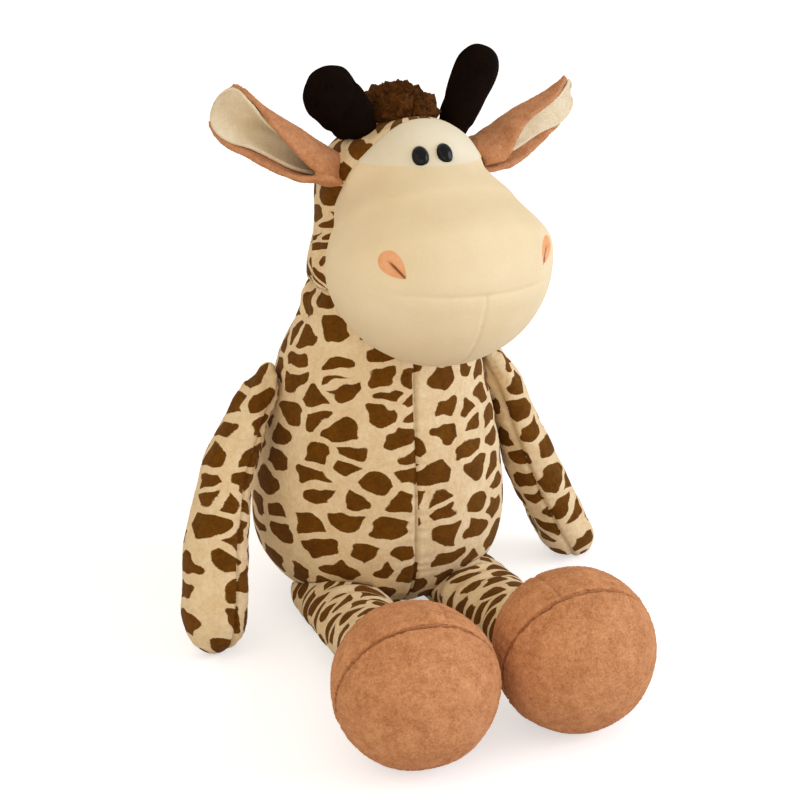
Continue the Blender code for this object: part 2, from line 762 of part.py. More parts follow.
def ear_sheet(start, end, low, high, trim, side):
    """A closed curled sheet between two offsets from the ear's inner face."""
    points = []
    rows, columns = FORM_RINGS, SMALL_RINGS - 2
    for level in (low, high):
        for i in range(rows + 1):
            share = between(start, end, i / rows)
            curl = math.radians(between(EAR_ROOT_CURL_DEG, EAR_TIP_CURL_DEG, share))
            radius = ear_half_width(share) / curl
            for j in range(columns + 1):
                turn = curl * between(-trim, trim, j / columns)
                across = (radius + level) * math.sin(turn)
                back = (radius + level) * math.cos(turn) - radius
                points.append(Vector((side * EAR_LENGTH * share, back, across)))
    size = (rows + 1) * (columns + 1)
    step = columns + 1
    faces = []
    for i in range(rows):
        for j in range(columns):
            a = i * step + j
            faces.append((a, a + 1, a + step + 1, a + step))
            faces.append((a + size, a + step + size, a + step + 1 + size, a + 1 + size))
    edge = [j for j in range(columns)] + [i * step + columns for i in range(rows)]
    edge += [rows * step + j for j in range(columns, 0, -1)] + [i * step for i in range(rows, 0, -1)]
    faces += [(a, b, b + size, a + size) for a, b in zip(edge, edge[1:] + edge[:1])]
    return points, faces


def add_ear(name, side, lift_deg, sweep_deg, materials, head, carrier):
    """The tan back of the ear with its ball root, and its lining."""
    height = CROWN_HEIGHT - EAR_DROP
    width, depth, shift = back_sizes(height)
    turn = math.radians(EAR_BACK_DEG)
    spot = Vector((side * width * math.cos(turn), shift + depth * math.sin(turn), height))
    spot.x += side * EAR_STAND
    sweep = Matrix.Rotation(math.radians(side * sweep_deg), 4, "Z")
    lift = Matrix.Rotation(math.radians(-side * lift_deg), 4, "Y")
    joint = Joint(name + "_joint", head.matrix @ Matrix.Translation(spot) @ sweep @ lift, head)
    points, faces = ear_sheet(0, 1, 0, EAR_THICKNESS, 1, side)
    ear = add_mesh(name, points, faces, materials["tan"], joint)
    unite(ear, add_ball(name + "_root", Vector(), EAR_ROOT_RADIUS, joint, SMALL_SIDES))
    cut(carrier, add_socket(name + "_pocket", EAR_ROOT_RADIUS, joint, SMALL_SIDES))
    inner = -LINING_GAP - LINING_THICKNESS
    trim = LINING_END_SHARE
    points, faces = ear_sheet(LINING_START_SHARE, LINING_END_SHARE, inner, -LINING_GAP, trim, side)
    add_mesh(name + "_lining", points, faces, materials["lining"], joint)


# Mane


def ridge_rings(path):
    """Rings of a low ridge along a path of (point, outward) pairs, rounded at both ends."""
    lengths = [0.0]
    for (before, _), (after, _) in zip(path, path[1:]):
        lengths.append(lengths[-1] + (after - before).length)
    rings = []
    for (point, outward), gone in zip(path, lengths):
        size = round_end(gone, MANE_END_ROUNDING) * round_end(lengths[-1] - gone, MANE_END_ROUNDING)
        if 0 < gone < lengths[-1]:
            rings.append(Ring(point, Vector((MANE_HALF_WIDTH * size, 0, 0)), outward * MANE_HEIGHT * size))
        else:
            rings.append(Ring(point, Vector(), Vector()))
    return rings


def with_normals(points):
    """Each point of an outline in the YZ plane with the direction out of the outline."""
    path = []
    for i, point in enumerate(points):
        along = points[min(i + 1, len(points) - 1)] - points[max(i - 1, 0)]
        path.append((point, Vector((0, along.z, -along.y)).normalized()))
    return path


def head_ridge_path():
    """Up the back of the head and over the crown."""
    points = []
    for share in even(FORM_RINGS):
        height = between(MANE_FOOT_HEIGHT, CROWN_HEIGHT, math.sin(math.pi / 2 * share))
        _, depth, shift = back_sizes(height)
        points.append(Vector((0, shift + depth, height)))
    top_y = points[-1].y
    for share in even(SMALL_RINGS // 2)[1:]:
        y = between(top_y, MANE_FRONT, share)
        points.append(Vector((0, y, crown_height(0, y))))
    return with_normals(points)


def neck_ridge_path():
    """Up the back of the neck."""
    points = []
    for share in even(SMALL_RINGS):
        height = between(NECK_MANE_FOOT, NECK_MANE_TOP, share)
        points.append(torso_centre(height) + Vector((0, torso_half_depth(height), 0)))
    return with_normals(points)


def add_manes(materials, head):
    crest = add_loft("mane", ridge_rings(head_ridge_path()), materials["mane"], head, SMALL_SIDES)
    cut(crest, add_loft("head_back_space", grow(back_rings(), SEAM_GAP), None, head))
    cut(crest, add_loft("face_space_at_mane", face_rings(SEAM_GAP), None, head))
    neck = add_loft("neck_mane", ridge_rings(neck_ridge_path()), materials["mane"], None, SMALL_SIDES)
    cut(neck, add_loft("torso_space", grow(torso_rings(), SEAM_GAP)))


# Arms


def shoulder_joint(name, side, height, swing_deg):
    """A joint on the chest whose X axis points out of it, turned so that -Z runs down the arm."""
    rise = torso_half_width(height + SLOPE_STEP) - torso_half_width(height - SLOPE_STEP)
    tilt = math.atan2(-rise, 2 * SLOPE_STEP)
    spot = torso_centre(height) + Vector((side * torso_half_width(height), 0, 0))
    lean = Matrix.Rotation(-side * tilt, 4, "Y")
    swing = Matrix.Rotation(math.radians(-swing_deg), 4, "X")
    return Joint(name, Matrix.Translation(spot) @ lean @ swing)


def add_arm(name, side, elbow_spread, hand_spread, materials, joint):
    """A bowed tube that widens to the hand, flat against the chest at its round shoulder seam."""
    length = ARM_ABOVE + ARM_LENGTH
    rings = []
    for share in spread(FORM_RINGS):
        gone = length * share
        down = gone - ARM_ABOVE
        width = smooth([(0, ARM_ROOT_HALF_WIDTH), (HAND_PLACE, HAND_HALF_WIDTH)], down)
        thick = smooth([(0, ARM_ROOT_HALF_THICKNESS), (HAND_PLACE, HAND_HALF_THICKNESS)], down)
        bow = smooth([(0, 0), (ELBOW_PLACE, elbow_spread), (ARM_LENGTH, hand_spread)], down)
        out = thick + SEAM_GAP + bow
        size = round_end(gone, ARM_ABOVE) * round_end(length - gone, HAND_ROUNDING)
        centre = Vector((side * out, 0, -down))
        if 0 < share < 1:
            rings.append(Ring(centre, Vector((0, width * size, 0)), Vector((thick * size, 0, 0))))
        else:
            rings.append(Ring(centre, Vector(), Vector()))
    arm = add_loft(name, rings, materials["print"], joint)
    inner = Vector((-side * SHOULDER_SEAM_DEPTH, 0, 0))
    outer = Vector((side * SHOULDER_SEAM_REACH, 0, 0))
    unite(arm, add_drum(name + "_seam", inner, outer, SHOULDER_SEAM_RADIUS, joint, FORM_SIDES))


# Legs and feet


def foot_centre(side):
    if side < 0:
        return Vector((-RIGHT_FOOT_OFFSET, -RIGHT_FOOT_FORWARD, FOOT_RADIUS - FLAT_DEPTH))
    return Vector((LEFT_FOOT_OFFSET, -LEFT_FOOT_FORWARD, FOOT_RADIUS - FLAT_DEPTH))


def hip_joint(name, side):
    """A joint at the hip, whose X axis the leg swings about."""
    return Joint(name, Matrix.Translation((side * HIP_SPACING / 2, -HIP_FORWARD, HIP_HEIGHT)))


def add_leg(name, side, materials, hip):
    """A tube from a ball in the torso to the foot, narrowed where it would meet the torso in its turn."""
    way = foot_centre(side) - hip.matrix.translation
    length = way.length
    line = Joint(name + "_line", hip.matrix @ way.to_track_quat("-Y", "Z").to_matrix().to_4x4(), hip)
    rings = []
    for share in even(FORM_RINGS // 2):
        down = length * share
        width = smooth([(0, THIGH_HALF_WIDTH), (length, ANKLE_HALF_WIDTH)], down)
        height = smooth([(0, THIGH_HALF_HEIGHT), (length, ANKLE_HALF_HEIGHT)], down)
        rings.append(Ring(Vector((0, -down, 0)), Vector((width, 0, 0)), Vector((0, 0, height))))
    leg = add_loft(name, rings, materials["print"], line)
    for share in even(HIP_TURNS):
        turn = Matrix.Rotation(math.radians(between(HIP_RAISE_DEG, -HIP_DROP_DEG, share)), 4, "X")
        space = add_loft(name + "_torso_space", grow(torso_rings(), HIP_CLEARANCE))
        space.matrix_basis = hip.matrix @ turn @ hip.matrix.inverted()
        cut(leg, space)
    unite(leg, add_ball(name + "_root", Vector(), HIP_BALL_RADIUS, line))
    ankle_space = (FOOT_RADIUS + JOINT_GAP) / math.cos(math.pi / FORM_SIDES) ** 2
    cut(leg, add_ball(name + "_foot_space", Vector((0, -length, 0)), ankle_space, line))


def add_foot(name, side, materials, hip):
    """A ball on the ankle joint, parted by the seam round the sole and flat where it rests."""
    centre = foot_centre(side)
    leg = centre - hip.matrix.translation
    turn = Matrix.Rotation(math.atan2(leg.x, -leg.y), 4, "Z")
    ankle = Joint(name + "_joint", Matrix.Translation(centre) @ turn, hip)
    tilt = math.radians(SOLE_TILT_DEG)
    facing = Vector((0, -math.cos(tilt), -math.sin(tilt)))
    reach = FOOT_RADIUS + OVERRUN
    floor = add_block(name + "_floor", Vector((0, 0, -centre.z)), Vector((0, 0, -1)), reach, ankle)
    seam = facing * SOLE_OFFSET
    front = add_block(name + "_front", seam, facing, reach, ankle)
    rear = add_block(name + "_rear", seam + facing * SEAM_GAP, -facing, reach, ankle)
    rings = ball_rings(Vector(), FOOT_RADIUS, FORM_SIDES // 2)
    upper = add_loft(name, rings, materials["tan"], ankle)
    cut(upper, front, floor)
    sole = add_loft(name + "_sole", rings, materials["tan"], ankle)
    cut(sole, rear, floor)


# Tail


def tail_joint():
    spot = torso_centre(TAIL_HEIGHT)
    drop = (BELLY_HEIGHT - TAIL_HEIGHT) / (BELLY_HEIGHT + FLAT_DEPTH)
    share = (1 - drop ** SEAT_FULLNESS) ** (1 / SEAT_FULLNESS)
    spot.y += BELLY_HALF_DEPTH * share
    droop = Matrix.Rotation(math.radians(-TAIL_DROOP_DEG), 4, "X")
    return Joint("tail_joint", Matrix.Translation(spot) @ droop)


def add_tail(materials, joint):
    """A thin tube along Y from a ball in the torso, with a tuft at its end."""
    rings = [Ring(Vector((0, -TAIL_BALL_RADIUS, 0)), Vector(), Vector())]
    for level, size in root_rings(TAIL_BALL_RADIUS, SMALL_RINGS // 2):
        rings.append(Ring(Vector((0, level, 0)), Vector((size, 0, 0)), Vector((0, 0, size))))
    for share in even(SMALL_RINGS // 2)[1:]:
        rings.append(Ring(Vector((0, TAIL_LENGTH * share, 0)), Vector((TAIL_HALF_WIDTH, 0, 0)),
                          Vector((0, 0, TAIL_HALF_WIDTH))))
    add_loft("tail", rings, materials["print"], joint, SMALL_SIDES)
    start = TAIL_LENGTH + SEAM_GAP
    tuft = []
    for share in spread(SMALL_RINGS)[:-1]:
        swell = between(TAIL_HALF_WIDTH, TUFT_HALF_WIDTH, round_end(share, 1 / 2))
        size = swell * round_end(1 - share, 1 / 2)
        centre = Vector((0, start + TUFT_LENGTH * share, 0))
        tuft.append(Ring(centre, Vector((size, 0, 0)), Vector((0, 0, size))))
    tuft.append(Ring(Vector((0, start + TUFT_LENGTH, 0)), Vector(), Vector()))
    add_loft("tail_tuft", tuft, materials["mane"], joint, SMALL_SIDES)


def main():
    clear_scene()
    materials = add_materials()
    shoulders = {
        -1: shoulder_joint("right_shoulder_joint", -1, RIGHT_SHOULDER_HEIGHT, RIGHT_ARM_SWING_DEG),
        1: shoulder_joint("left_shoulder_joint", 1, LEFT_SHOULDER_HEIGHT, LEFT_ARM_SWING_DEG),
    }
    hips = {-1: hip_joint("right_hip_joint", -1), 1: hip_joint("left_hip_joint", 1)}
    tail = tail_joint()
    add_torso(materials, shoulders, hips, tail)
    add_tail(materials, tail)
    add_arm("right_arm", -1, RIGHT_ELBOW_SPREAD, RIGHT_HAND_SPREAD, materials, shoulders[-1])
    add_arm("left_arm", 1, LEFT_ELBOW_SPREAD, LEFT_HAND_SPREAD, materials, shoulders[1])
    for side, name in ((-1, "right"), (1, "left")):
        add_leg(name + "_leg", side, materials, hips[side])
        add_foot(name + "_foot", side, materials, hips[side])

    head = head_joint()
    face_cutters = add_face_cutters(head)
    forehead, muzzle = add_face(materials, head, face_cutters)
    back = add_head_back(materials, head, face_cutters)
    for side, name in ((-1, "right"), (1, "left")):
        add_eye(name + "_eye", side, materials, head, (forehead, muzzle))
        add_nostril(name + "_nostril", side, materials, head, muzzle)
    add_horn("right_horn", -RIGHT_HORN_OFFSET, -RIGHT_HORN_LEAN_DEG, materials, head, (back, forehead))
    add_horn("left_horn", LEFT_HORN_OFFSET, LEFT_HORN_LEAN_DEG, materials, head, (back, forehead))
    add_ear("right_ear", -1, RIGHT_EAR_LIFT_DEG, RIGHT_EAR_SWEEP_DEG, materials, head, back)
    add_ear("left_ear", 1, LEFT_EAR_LIFT_DEG, LEFT_EAR_SWEEP_DEG, materials, head, back)
    add_manes(materials, head)


main()
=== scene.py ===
"""A seated plush giraffe: printed body, cream face, velvet horns, lined ears, fur mane and tan feet.

Each stuffed cover starts from the frame's own solid, so that it keeps its place and its cuts.
It is remeshed, laid on the smooth form that the pattern pieces sew up to, filled, and then
gets its seams, gathers and pile. Lengths are in metres.
"""

import json
import math

import bmesh
import bpy
import numpy as np
from mathutils import Matrix, Vector, noise


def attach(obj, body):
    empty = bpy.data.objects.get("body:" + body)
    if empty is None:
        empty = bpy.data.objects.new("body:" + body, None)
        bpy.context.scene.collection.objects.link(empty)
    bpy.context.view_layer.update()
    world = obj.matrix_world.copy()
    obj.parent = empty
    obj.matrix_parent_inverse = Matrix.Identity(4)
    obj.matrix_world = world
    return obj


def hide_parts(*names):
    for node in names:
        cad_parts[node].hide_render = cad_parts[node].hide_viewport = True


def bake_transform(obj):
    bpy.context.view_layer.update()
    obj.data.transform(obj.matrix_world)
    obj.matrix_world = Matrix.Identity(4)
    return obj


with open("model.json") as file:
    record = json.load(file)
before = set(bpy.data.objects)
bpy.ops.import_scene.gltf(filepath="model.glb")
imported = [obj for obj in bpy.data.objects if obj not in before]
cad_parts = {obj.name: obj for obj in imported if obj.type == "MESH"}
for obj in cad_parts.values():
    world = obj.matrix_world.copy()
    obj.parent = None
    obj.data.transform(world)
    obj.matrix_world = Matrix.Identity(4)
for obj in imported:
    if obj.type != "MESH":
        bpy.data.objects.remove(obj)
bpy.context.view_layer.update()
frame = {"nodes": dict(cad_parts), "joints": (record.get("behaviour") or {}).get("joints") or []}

NODES = frame["nodes"]
JOINTS = {joint["name"]: Vector(joint["pos_m"]) for joint in frame["joints"]}
AXES = {joint["name"]: Vector(joint["axis"]) for joint in frame["joints"]}

MM = 0.001
SEED = 7
SEAM_GAP = 0.0003
LINING_GAP = 0.0005

# Camera: the photograph's own, for an image of 800 by 800
IMAGE_SIDE = 800
PIXELS_PER_METRE = 1972
CAMERA_AZIMUTH = -20
CAMERA_ELEVATION = 22
CAMERA_DISTANCE = 1.2
CAMERA_TARGET = Vector((0.0124, 0, 0.1016))
SENSOR = 36

# Torso
BELLY_HALF_WIDTH = 0.065
BELLY_HALF_DEPTH = 0.061
BELLY_HEIGHT = 0.050
SEAT_FULLNESS = 2.3
CHEST_HALF_WIDTH = 0.051
CHEST_HALF_DEPTH = 0.048
CHEST_HEIGHT = 0.130
CHEST_SHIFT_BACK = -0.004
NECK_BALL_RADIUS = 0.0395
NECK_JOIN_DEG = 12
NECK = JOINTS["neck_nod"]

# Head, in its own frame round the neck ball
HEAD_TURN_DEG = 5
HEAD_LEAN_DEG = 2.6
RIM_HEIGHT = 0.0155
NAPE_HALF_WIDTH = 0.0400
NAPE_HALF_DEPTH = 0.0395
THROAT_HALF_WIDTH = 0.0380
THROAT_HALF_DEPTH = 0.0365
THROAT_HEIGHT = 0.045
CROWN_HALF_WIDTH = 0.0375
CROWN_HALF_DEPTH = 0.0310
CROWN_HEIGHT = 0.0990
CROWN_ROUNDING = 0.026
CROWN_SHIFT_BACK = -0.008
FACE_TOP_BACK = -0.011
FACE_TOP_HEIGHT = CROWN_HEIGHT - 0.0015
FACE_TILT_DEG = 34.5
FACE_LENGTH = 0.1205
FACE_PLACES = (0.027, 0.048, 0.074)
FACE_HALF_WIDTHS = (0.0315, 0.0450, 0.0550)
FACE_HALF_DEPTHS = (0.0295, 0.0450, 0.0500)
FACE_SHIFTS = (0, -0.0045, 0.0035)
BROW_ROUNDING = 0.028
CHIN_ROUNDING = 0.052
BROW_SEAM_HEIGHT = CROWN_HEIGHT - 0.0175
BROW_SEAM_TILT_DEG = 7.5
MOUTH_SEAM_HEIGHT = CROWN_HEIGHT - 0.060

# Head cover: how widely the face runs into the back of the head, by height, and the edge of the cream panels
CHEEK_FILLET = 0.020
CROWN_FILLET = 0.004
FILLET_HEIGHT = 0.094
FILLET_FADE = 0.022
PANEL_EDGE = ((0.012, -0.0250), (0.022, -0.0195), (0.030, -0.0150), (0.040, -0.0130), (0.050, -0.0138),
              (0.057, -0.0145), (0.064, -0.0172), (0.073, -0.0227), (0.084, -0.0258), (0.098, -0.0285),
              (0.106, -0.0250))

# Eyes and nostrils, by their place down the face and across it
EYE_PLACE = 0.0273
EYE_SPACING = 0.0118
EYE_SHIFT = -0.0042
EYE_HALF_WIDTH = 0.0038
EYE_HALF_HEIGHT = 0.0050
EYE_DOME = 0.0028
NOSTRIL_PLACE = 0.0805
NOSTRIL_OFFSET = 0.0395
NOSTRIL_LENGTH = 0.0172
NOSTRIL_WIDTH = 0.0150
NOSTRIL_TILT_DEG = 30
NOSTRIL_TAPER = 0.9
NOSTRIL_DIMPLE = 0.0018
TEMPLE_FULLNESS = 0.0036

# Horns
HORN_LENGTH = {"right": 0.0375, "left": 0.0405}
HORN_HALF_WIDTH = {"right": 0.0131, "left": 0.0120}
HORN_FOOT_HALF_WIDTH = {"right": 0.0115, "left": 0.0092}
HORN_HALF_THICKNESS = 0.0066
HORN_ROOT_RADIUS = 0.0075
HORN_LEAN_DEG = {"right": -44, "left": 22}

# Ears
EAR_LENGTH = {"right": 0.0635, "left": 0.068}
EAR_HALF_WIDTHS = ((-0.15, 0.0200), (0, 0.0262), (0.25, 0.0232), (0.55, 0.0190), (0.70, 0.0176))
EAR_TIP_START_SHARE = 0.66
EAR_THICKNESS = 0.0026
EAR_ROOT_RADIUS = 0.0064
LINING_THICKNESS = 0.0016
EAR_LOWER_CURL_DEG = {"right": ((0, 130), (0.25, 92), (0.60, 62), (1, 25)),
                      "left": ((0, 110), (0.25, 76), (0.60, 54), (1, 25))}
EAR_UPPER_CURL_DEG = {"right": ((0, 170), (0.30, 152), (0.60, 124), (0.85, 82), (1, 35)),
                      "left": ((0, 150), (0.15, 118), (0.35, 98), (0.65, 90), (0.85, 66), (1, 30))}
EAR_LOWER_SHARE = {"right": 1.0, "left": 0.74}
EAR_LIFT_DEG = {"right": 31.5, "left": 16.5}
LINING_UPPER_EDGE = ((0.02, 0.55), (0.30, 0.76), (0.55, 0.90), (0.80, 1.02), (1, 1.05))
LINING_LOWER_EDGE = ((0.02, 0.60), (0.30, 0.74), (0.55, 0.80), (0.80, 0.97), (1, 1.05))
EAR_SWEEP_DEG = {"right": 0, "left": 18}

# Arms, legs and feet
ARM_ABOVE = {"right": 0.0125, "left": 0.0060}
ARM_LENGTH = 0.1330
ARM_HALF_WIDTHS = ((-0.0125, 0.0075), (0, 0.0110), (0.030, 0.0145), (0.100, 0.0175))
ARM_HALF_THICKNESSES = {
    "right": ((-0.0125, 0.0058), (0, 0.0080), (0.020, 0.0102), (0.045, 0.0122), (0.070, 0.0144),
              (0.100, 0.0156)),
    "left": ((-0.0060, 0.0042), (0, 0.0058), (0.020, 0.0090), (0.045, 0.0112), (0.070, 0.0128),
             (0.100, 0.0137))}
ARM_BOWS = {
    "right": ((-0.0125, -0.0005), (0, 0), (0.020, 0.0042), (0.045, 0.0086), (0.070, 0.0076),
              (0.1330, 0.0032)),
    "left": ((-0.0125, -0.0005), (0, 0), (0.045, 0.0008), (0.080, 0.0038), (0.110, 0.0100), (0.1330, 0.0160))}
HAND_ROUNDING = 0.020
ARM_SWING_DEG = {"right": 19, "left": -2}
ARM_SEAM_INWARD = 0.0055
HIP_BALL_RADIUS = 0.0225
LEG_WIDTHS = ((0.010, 0.0212), (0.040, 0.0195), (0.100, 0.0178))
LEG_HEIGHTS = ((0.010, 0.0148), (0.100, 0.0160))
LEG_DROPS = ((0.010, 0.0090), (0.060, 0.0075), (0.100, 0.0020))
FOOT_RADIUS = 0.0380
SOLE_TILT_DEG = 14
SOLE_OFFSET = 0.0030

SIDES = (("right", -1), ("left", 1))

# Printed cloth: the pitch of its spots
SPOT_WIDTH = 0.0195
SPOT_HEIGHT = 0.0130


# Numbers on meshes


def positions(mesh):
    values = np.empty(len(mesh.vertices) * 3, np.float32)
    mesh.vertices.foreach_get("co", values)
    return values.reshape(-1, 3).astype(float)


def set_positions(mesh, places):
    mesh.vertices.foreach_set("co", places.astype(np.float32).ravel())
    mesh.update()


def normals(mesh):
    values = np.empty(len(mesh.vertices) * 3, np.float32)
    mesh.vertex_normals.foreach_get("vector", values)
    return values.reshape(-1, 3).astype(float)


def into(matrix, places):
    """World places in a frame's own coordinates."""
    back = np.array(matrix.inverted())
    return places @ back[:3, :3].T + back[:3, 3]


def out_of(matrix, places):
    turn = np.array(matrix)
    return places @ turn[:3, :3].T + turn[:3, 3]


def ease(value, low, high):
    share = np.clip((value - low) / (high - low), 0, 1)
    return share * share * (3 - 2 * share)


def curve(stations):
    """A smooth curve through (place, value) stations, level past its ends."""
    places = np.array([station[0] for station in stations], float)
    values = np.array([station[1] for station in stations], float)
    rises = np.diff(values) / np.diff(places)
    slopes = np.zeros(len(places))
    for i in range(1, len(places) - 1):
        before, after = rises[i - 1], rises[i]
        if before * after > 0:
            slopes[i] = 2 * before * after / (before + after)

    def value_at(place):
        place = np.clip(place, places[0], places[-1])
        i = np.clip(np.searchsorted(places, place, "right") - 1, 0, len(places) - 2)
        span = places[i + 1] - places[i]
        t = (place - places[i]) / span
        low = (2 * t ** 3 - 3 * t ** 2 + 1) * values[i] + span * (t ** 3 - 2 * t ** 2 + t) * slopes[i]
        high = (3 * t ** 2 - 2 * t ** 3) * values[i + 1] + span * (t ** 3 - t ** 2) * slopes[i + 1]
        return low + high

    return value_at


def lumps(places, size, seed=0):
    """Smooth noise from -1 to 1 whose lumps are about that size."""
    shift = Vector((seed * 17.3, seed * 5.1, seed * 11.7))
    return np.array([noise.noise(Vector(place) / size + shift) for place in places])


def sewn_line(distance, depth, width):
    """How far the cover sinks beside a seam."""
    return -depth * np.exp(-(distance / width) ** 2)


def gathers(distance, along, depth, pitch, reach, seed=0):
    """Small tucks that run out from a seam and fade."""
    shift = np.array([noise.noise(Vector((a / pitch / 3, seed, 0))) for a in along])
    wave = np.cos(math.tau * (along / pitch + 1.3 * shift))
    start = 1 - np.exp(-(distance / (reach / 5)) ** 2)
    return depth * wave * start * np.exp(-(distance / reach) ** 1.5)


# Meshes


def link(name, mesh):
    piece = bpy.data.objects.new(name, mesh)
    bpy.context.scene.collection.objects.link(piece)
    return piece


def baked(piece, name=None):
    """The piece as its modifiers leave it, as a plain mesh object."""
    depsgraph = bpy.context.evaluated_depsgraph_get()
    mesh = bpy.data.meshes.new_from_object(piece.evaluated_get(depsgraph), depsgraph=depsgraph)
    name = name or piece.name
    bpy.data.objects.remove(piece, do_unlink=True)
    mesh.name = name
    return link(name, mesh)


def copy_of(name, node, growth=0.0):
    """A copy of one of the frame's solids, with its loose triangles sewn together."""
    shell = bmesh.new()
    shell.from_mesh(NODES[node].data)
    bmesh.ops.remove_doubles(shell, verts=shell.verts, dist=0.01 * MM)
    mesh = bpy.data.meshes.new(name)
    shell.to_mesh(mesh)
    shell.free()
    mesh.materials.clear()
    piece = link(name, mesh)
    if growth:
        pushed(piece, np.full(len(mesh.vertices), growth))
    return piece


def remeshed(piece, voxel):
    modifier = piece.modifiers.new("remesh", "REMESH")
    modifier.mode = "VOXEL"
    modifier.voxel_size = voxel
    modifier.use_smooth_shade = True
    return baked(piece)


def subdivided(piece, levels=1):
    modifier = piece.modifiers.new("subdivision", "SUBSURF")
    modifier.levels = levels
    modifier.render_levels = levels
    return baked(piece)


def softened(mesh, rounds, weight=None):
    """Each vertex moves half way to the mean of its neighbours, as often as asked."""
    edges = np.empty(len(mesh.edges) * 2, np.int32)
    mesh.edges.foreach_get("vertices", edges)
    first, second = edges.reshape(-1, 2).T
    places = positions(mesh)
    count = np.bincount(first, minlength=len(places)) + np.bincount(second, minlength=len(places))
    share = 0.5 if weight is None else 0.5 * weight[:, None]
    for _ in range(rounds):
        total = np.zeros_like(places)
        np.add.at(total, first, places[second])
        np.add.at(total, second, places[first])
        places += (total / np.maximum(count, 1)[:, None] - places) * share
    set_positions(mesh, places)


def grid_faces(rows, columns, closed):
    """Quads of a grid of points stored row by row; a closed grid joins its last column to its first."""
    faces = []
    for i in range(rows - 1):
        for j in range(columns if closed else columns - 1):
            k = (j + 1) % columns
            faces.append((i * columns + j, i * columns + k, (i + 1) * columns + k, (i + 1) * columns + j))
    return faces


def mesh_piece(name, points, faces):
    mesh = bpy.data.meshes.new(name)
    mesh.from_pydata([tuple(point) for point in points], [], faces)
    shell = bmesh.new()
    shell.from_mesh(mesh)
    bmesh.ops.remove_doubles(shell, verts=shell.verts, dist=0.001 * MM)
    bmesh.ops.recalc_face_normals(shell, faces=shell.faces)
    shell.to_mesh(mesh)
    shell.free()
    mesh.shade_smooth()
    return link(name, mesh)


def joined(name, pieces):
    shell = bmesh.new()
    for piece in pieces:
        shell.from_mesh(piece.data)
        bpy.data.objects.remove(piece, do_unlink=True)
    mesh = bpy.data.meshes.new(name)
    shell.to_mesh(mesh)
    shell.free()
    mesh.shade_smooth()
    return link(name, mesh)


def filled(piece, sewn, cap, swell=0.03):
    """The cover filled with stuffing: it swells between its sewn lines, by no more than the cap."""
    start, ways = positions(piece.data), normals(piece.data)
    held = piece.vertex_groups.new(name="sewn")
    for level in (1.0, 0.6, 0.3):
        chosen = np.nonzero((sewn >= level - 0.15) & (sewn < level + 0.15))[0]
        held.add([int(i) for i in chosen], level, "REPLACE")
    stuffing = piece.modifiers.new("stuffing", "CLOTH")
    cloth = stuffing.settings
    cloth.quality = 4
    cloth.mass = 0.3
    cloth.use_pressure = True
    cloth.uniform_pressure_force = 4
    cloth.shrink_min = -swell
    cloth.bending_stiffness = 0.3
    cloth.vertex_group_mass = held.name
    cloth.effector_weights.gravity = 0
    stuffing.collision_settings.use_collision = False
    stuffing.point_cache.frame_start = 1
    stuffing.point_cache.frame_end = FILL_FRAMES
    for step in range(1, FILL_FRAMES + 1):
        bpy.context.scene.frame_set(step)
    piece = baked(piece)
    bpy.context.scene.frame_set(1)
    move = positions(piece.data) - start
    out = np.clip((move * ways).sum(axis=1), 0, cap)
    set_positions(piece.data, start + ways * out[:, None])
    return piece


FILL_FRAMES = 20


# Smooth forms: each gives how far a place is out from the form's middle, and that middle


def neck_station(degrees):
    angle = math.radians(degrees)
    return NECK.z + NECK_BALL_RADIUS * math.sin(angle), NECK_BALL_RADIUS * math.cos(angle)


def torso_size(belly, chest):
    stations = [(BELLY_HEIGHT, belly), (CHEST_HEIGHT, chest)]
    return curve(stations + [neck_station(NECK_JOIN_DEG), neck_station(2 * NECK_JOIN_DEG)])


TORSO_HALF_WIDTH = torso_size(BELLY_HALF_WIDTH, CHEST_HALF_WIDTH)
TORSO_HALF_DEPTH = torso_size(BELLY_HALF_DEPTH, CHEST_HALF_DEPTH)
NECK_JOIN = neck_station(NECK_JOIN_DEG)[0]
TORSO_X = curve([(CHEST_HEIGHT, 0), (NECK_JOIN, NECK.x)])
TORSO_Y = curve([(BELLY_HEIGHT, 0), (CHEST_HEIGHT, CHEST_SHIFT_BACK), (NECK_JOIN, NECK.y)])


def torso_form(places):
    height = places[:, 2]
    level = np.maximum(height, BELLY_HEIGHT)
    middle = np.stack([TORSO_X(level), TORSO_Y(level), level], axis=1)
    x = (places[:, 0] - middle[:, 0]) / TORSO_HALF_WIDTH(level)
    y = (places[:, 1] - middle[:, 1]) / TORSO_HALF_DEPTH(level)
    drop = np.maximum(0, (BELLY_HEIGHT - height) / BELLY_HEIGHT)
    out = (np.hypot(x, y) ** SEAT_FULLNESS + drop ** SEAT_FULLNESS) ** (1 / SEAT_FULLNESS)
    return out, middle


HEAD = (Matrix.Translation(NECK) @ Matrix.Rotation(math.radians(HEAD_TURN_DEG), 4, "Z")
        @ Matrix.Rotation(math.radians(HEAD_LEAN_DEG), 4, "Y"))
CROWN_START = CROWN_HEIGHT - CROWN_ROUNDING
BACK_HALF_WIDTH = curve([(RIM_HEIGHT, NAPE_HALF_WIDTH), (THROAT_HEIGHT, THROAT_HALF_WIDTH),
                         (CROWN_START, CROWN_HALF_WIDTH)])
BACK_HALF_DEPTH = curve([(RIM_HEIGHT, NAPE_HALF_DEPTH), (THROAT_HEIGHT, THROAT_HALF_DEPTH),
                         (CROWN_START, CROWN_HALF_DEPTH)])
BACK_SHIFT = curve([(RIM_HEIGHT, 0), (CROWN_HEIGHT, CROWN_SHIFT_BACK)])


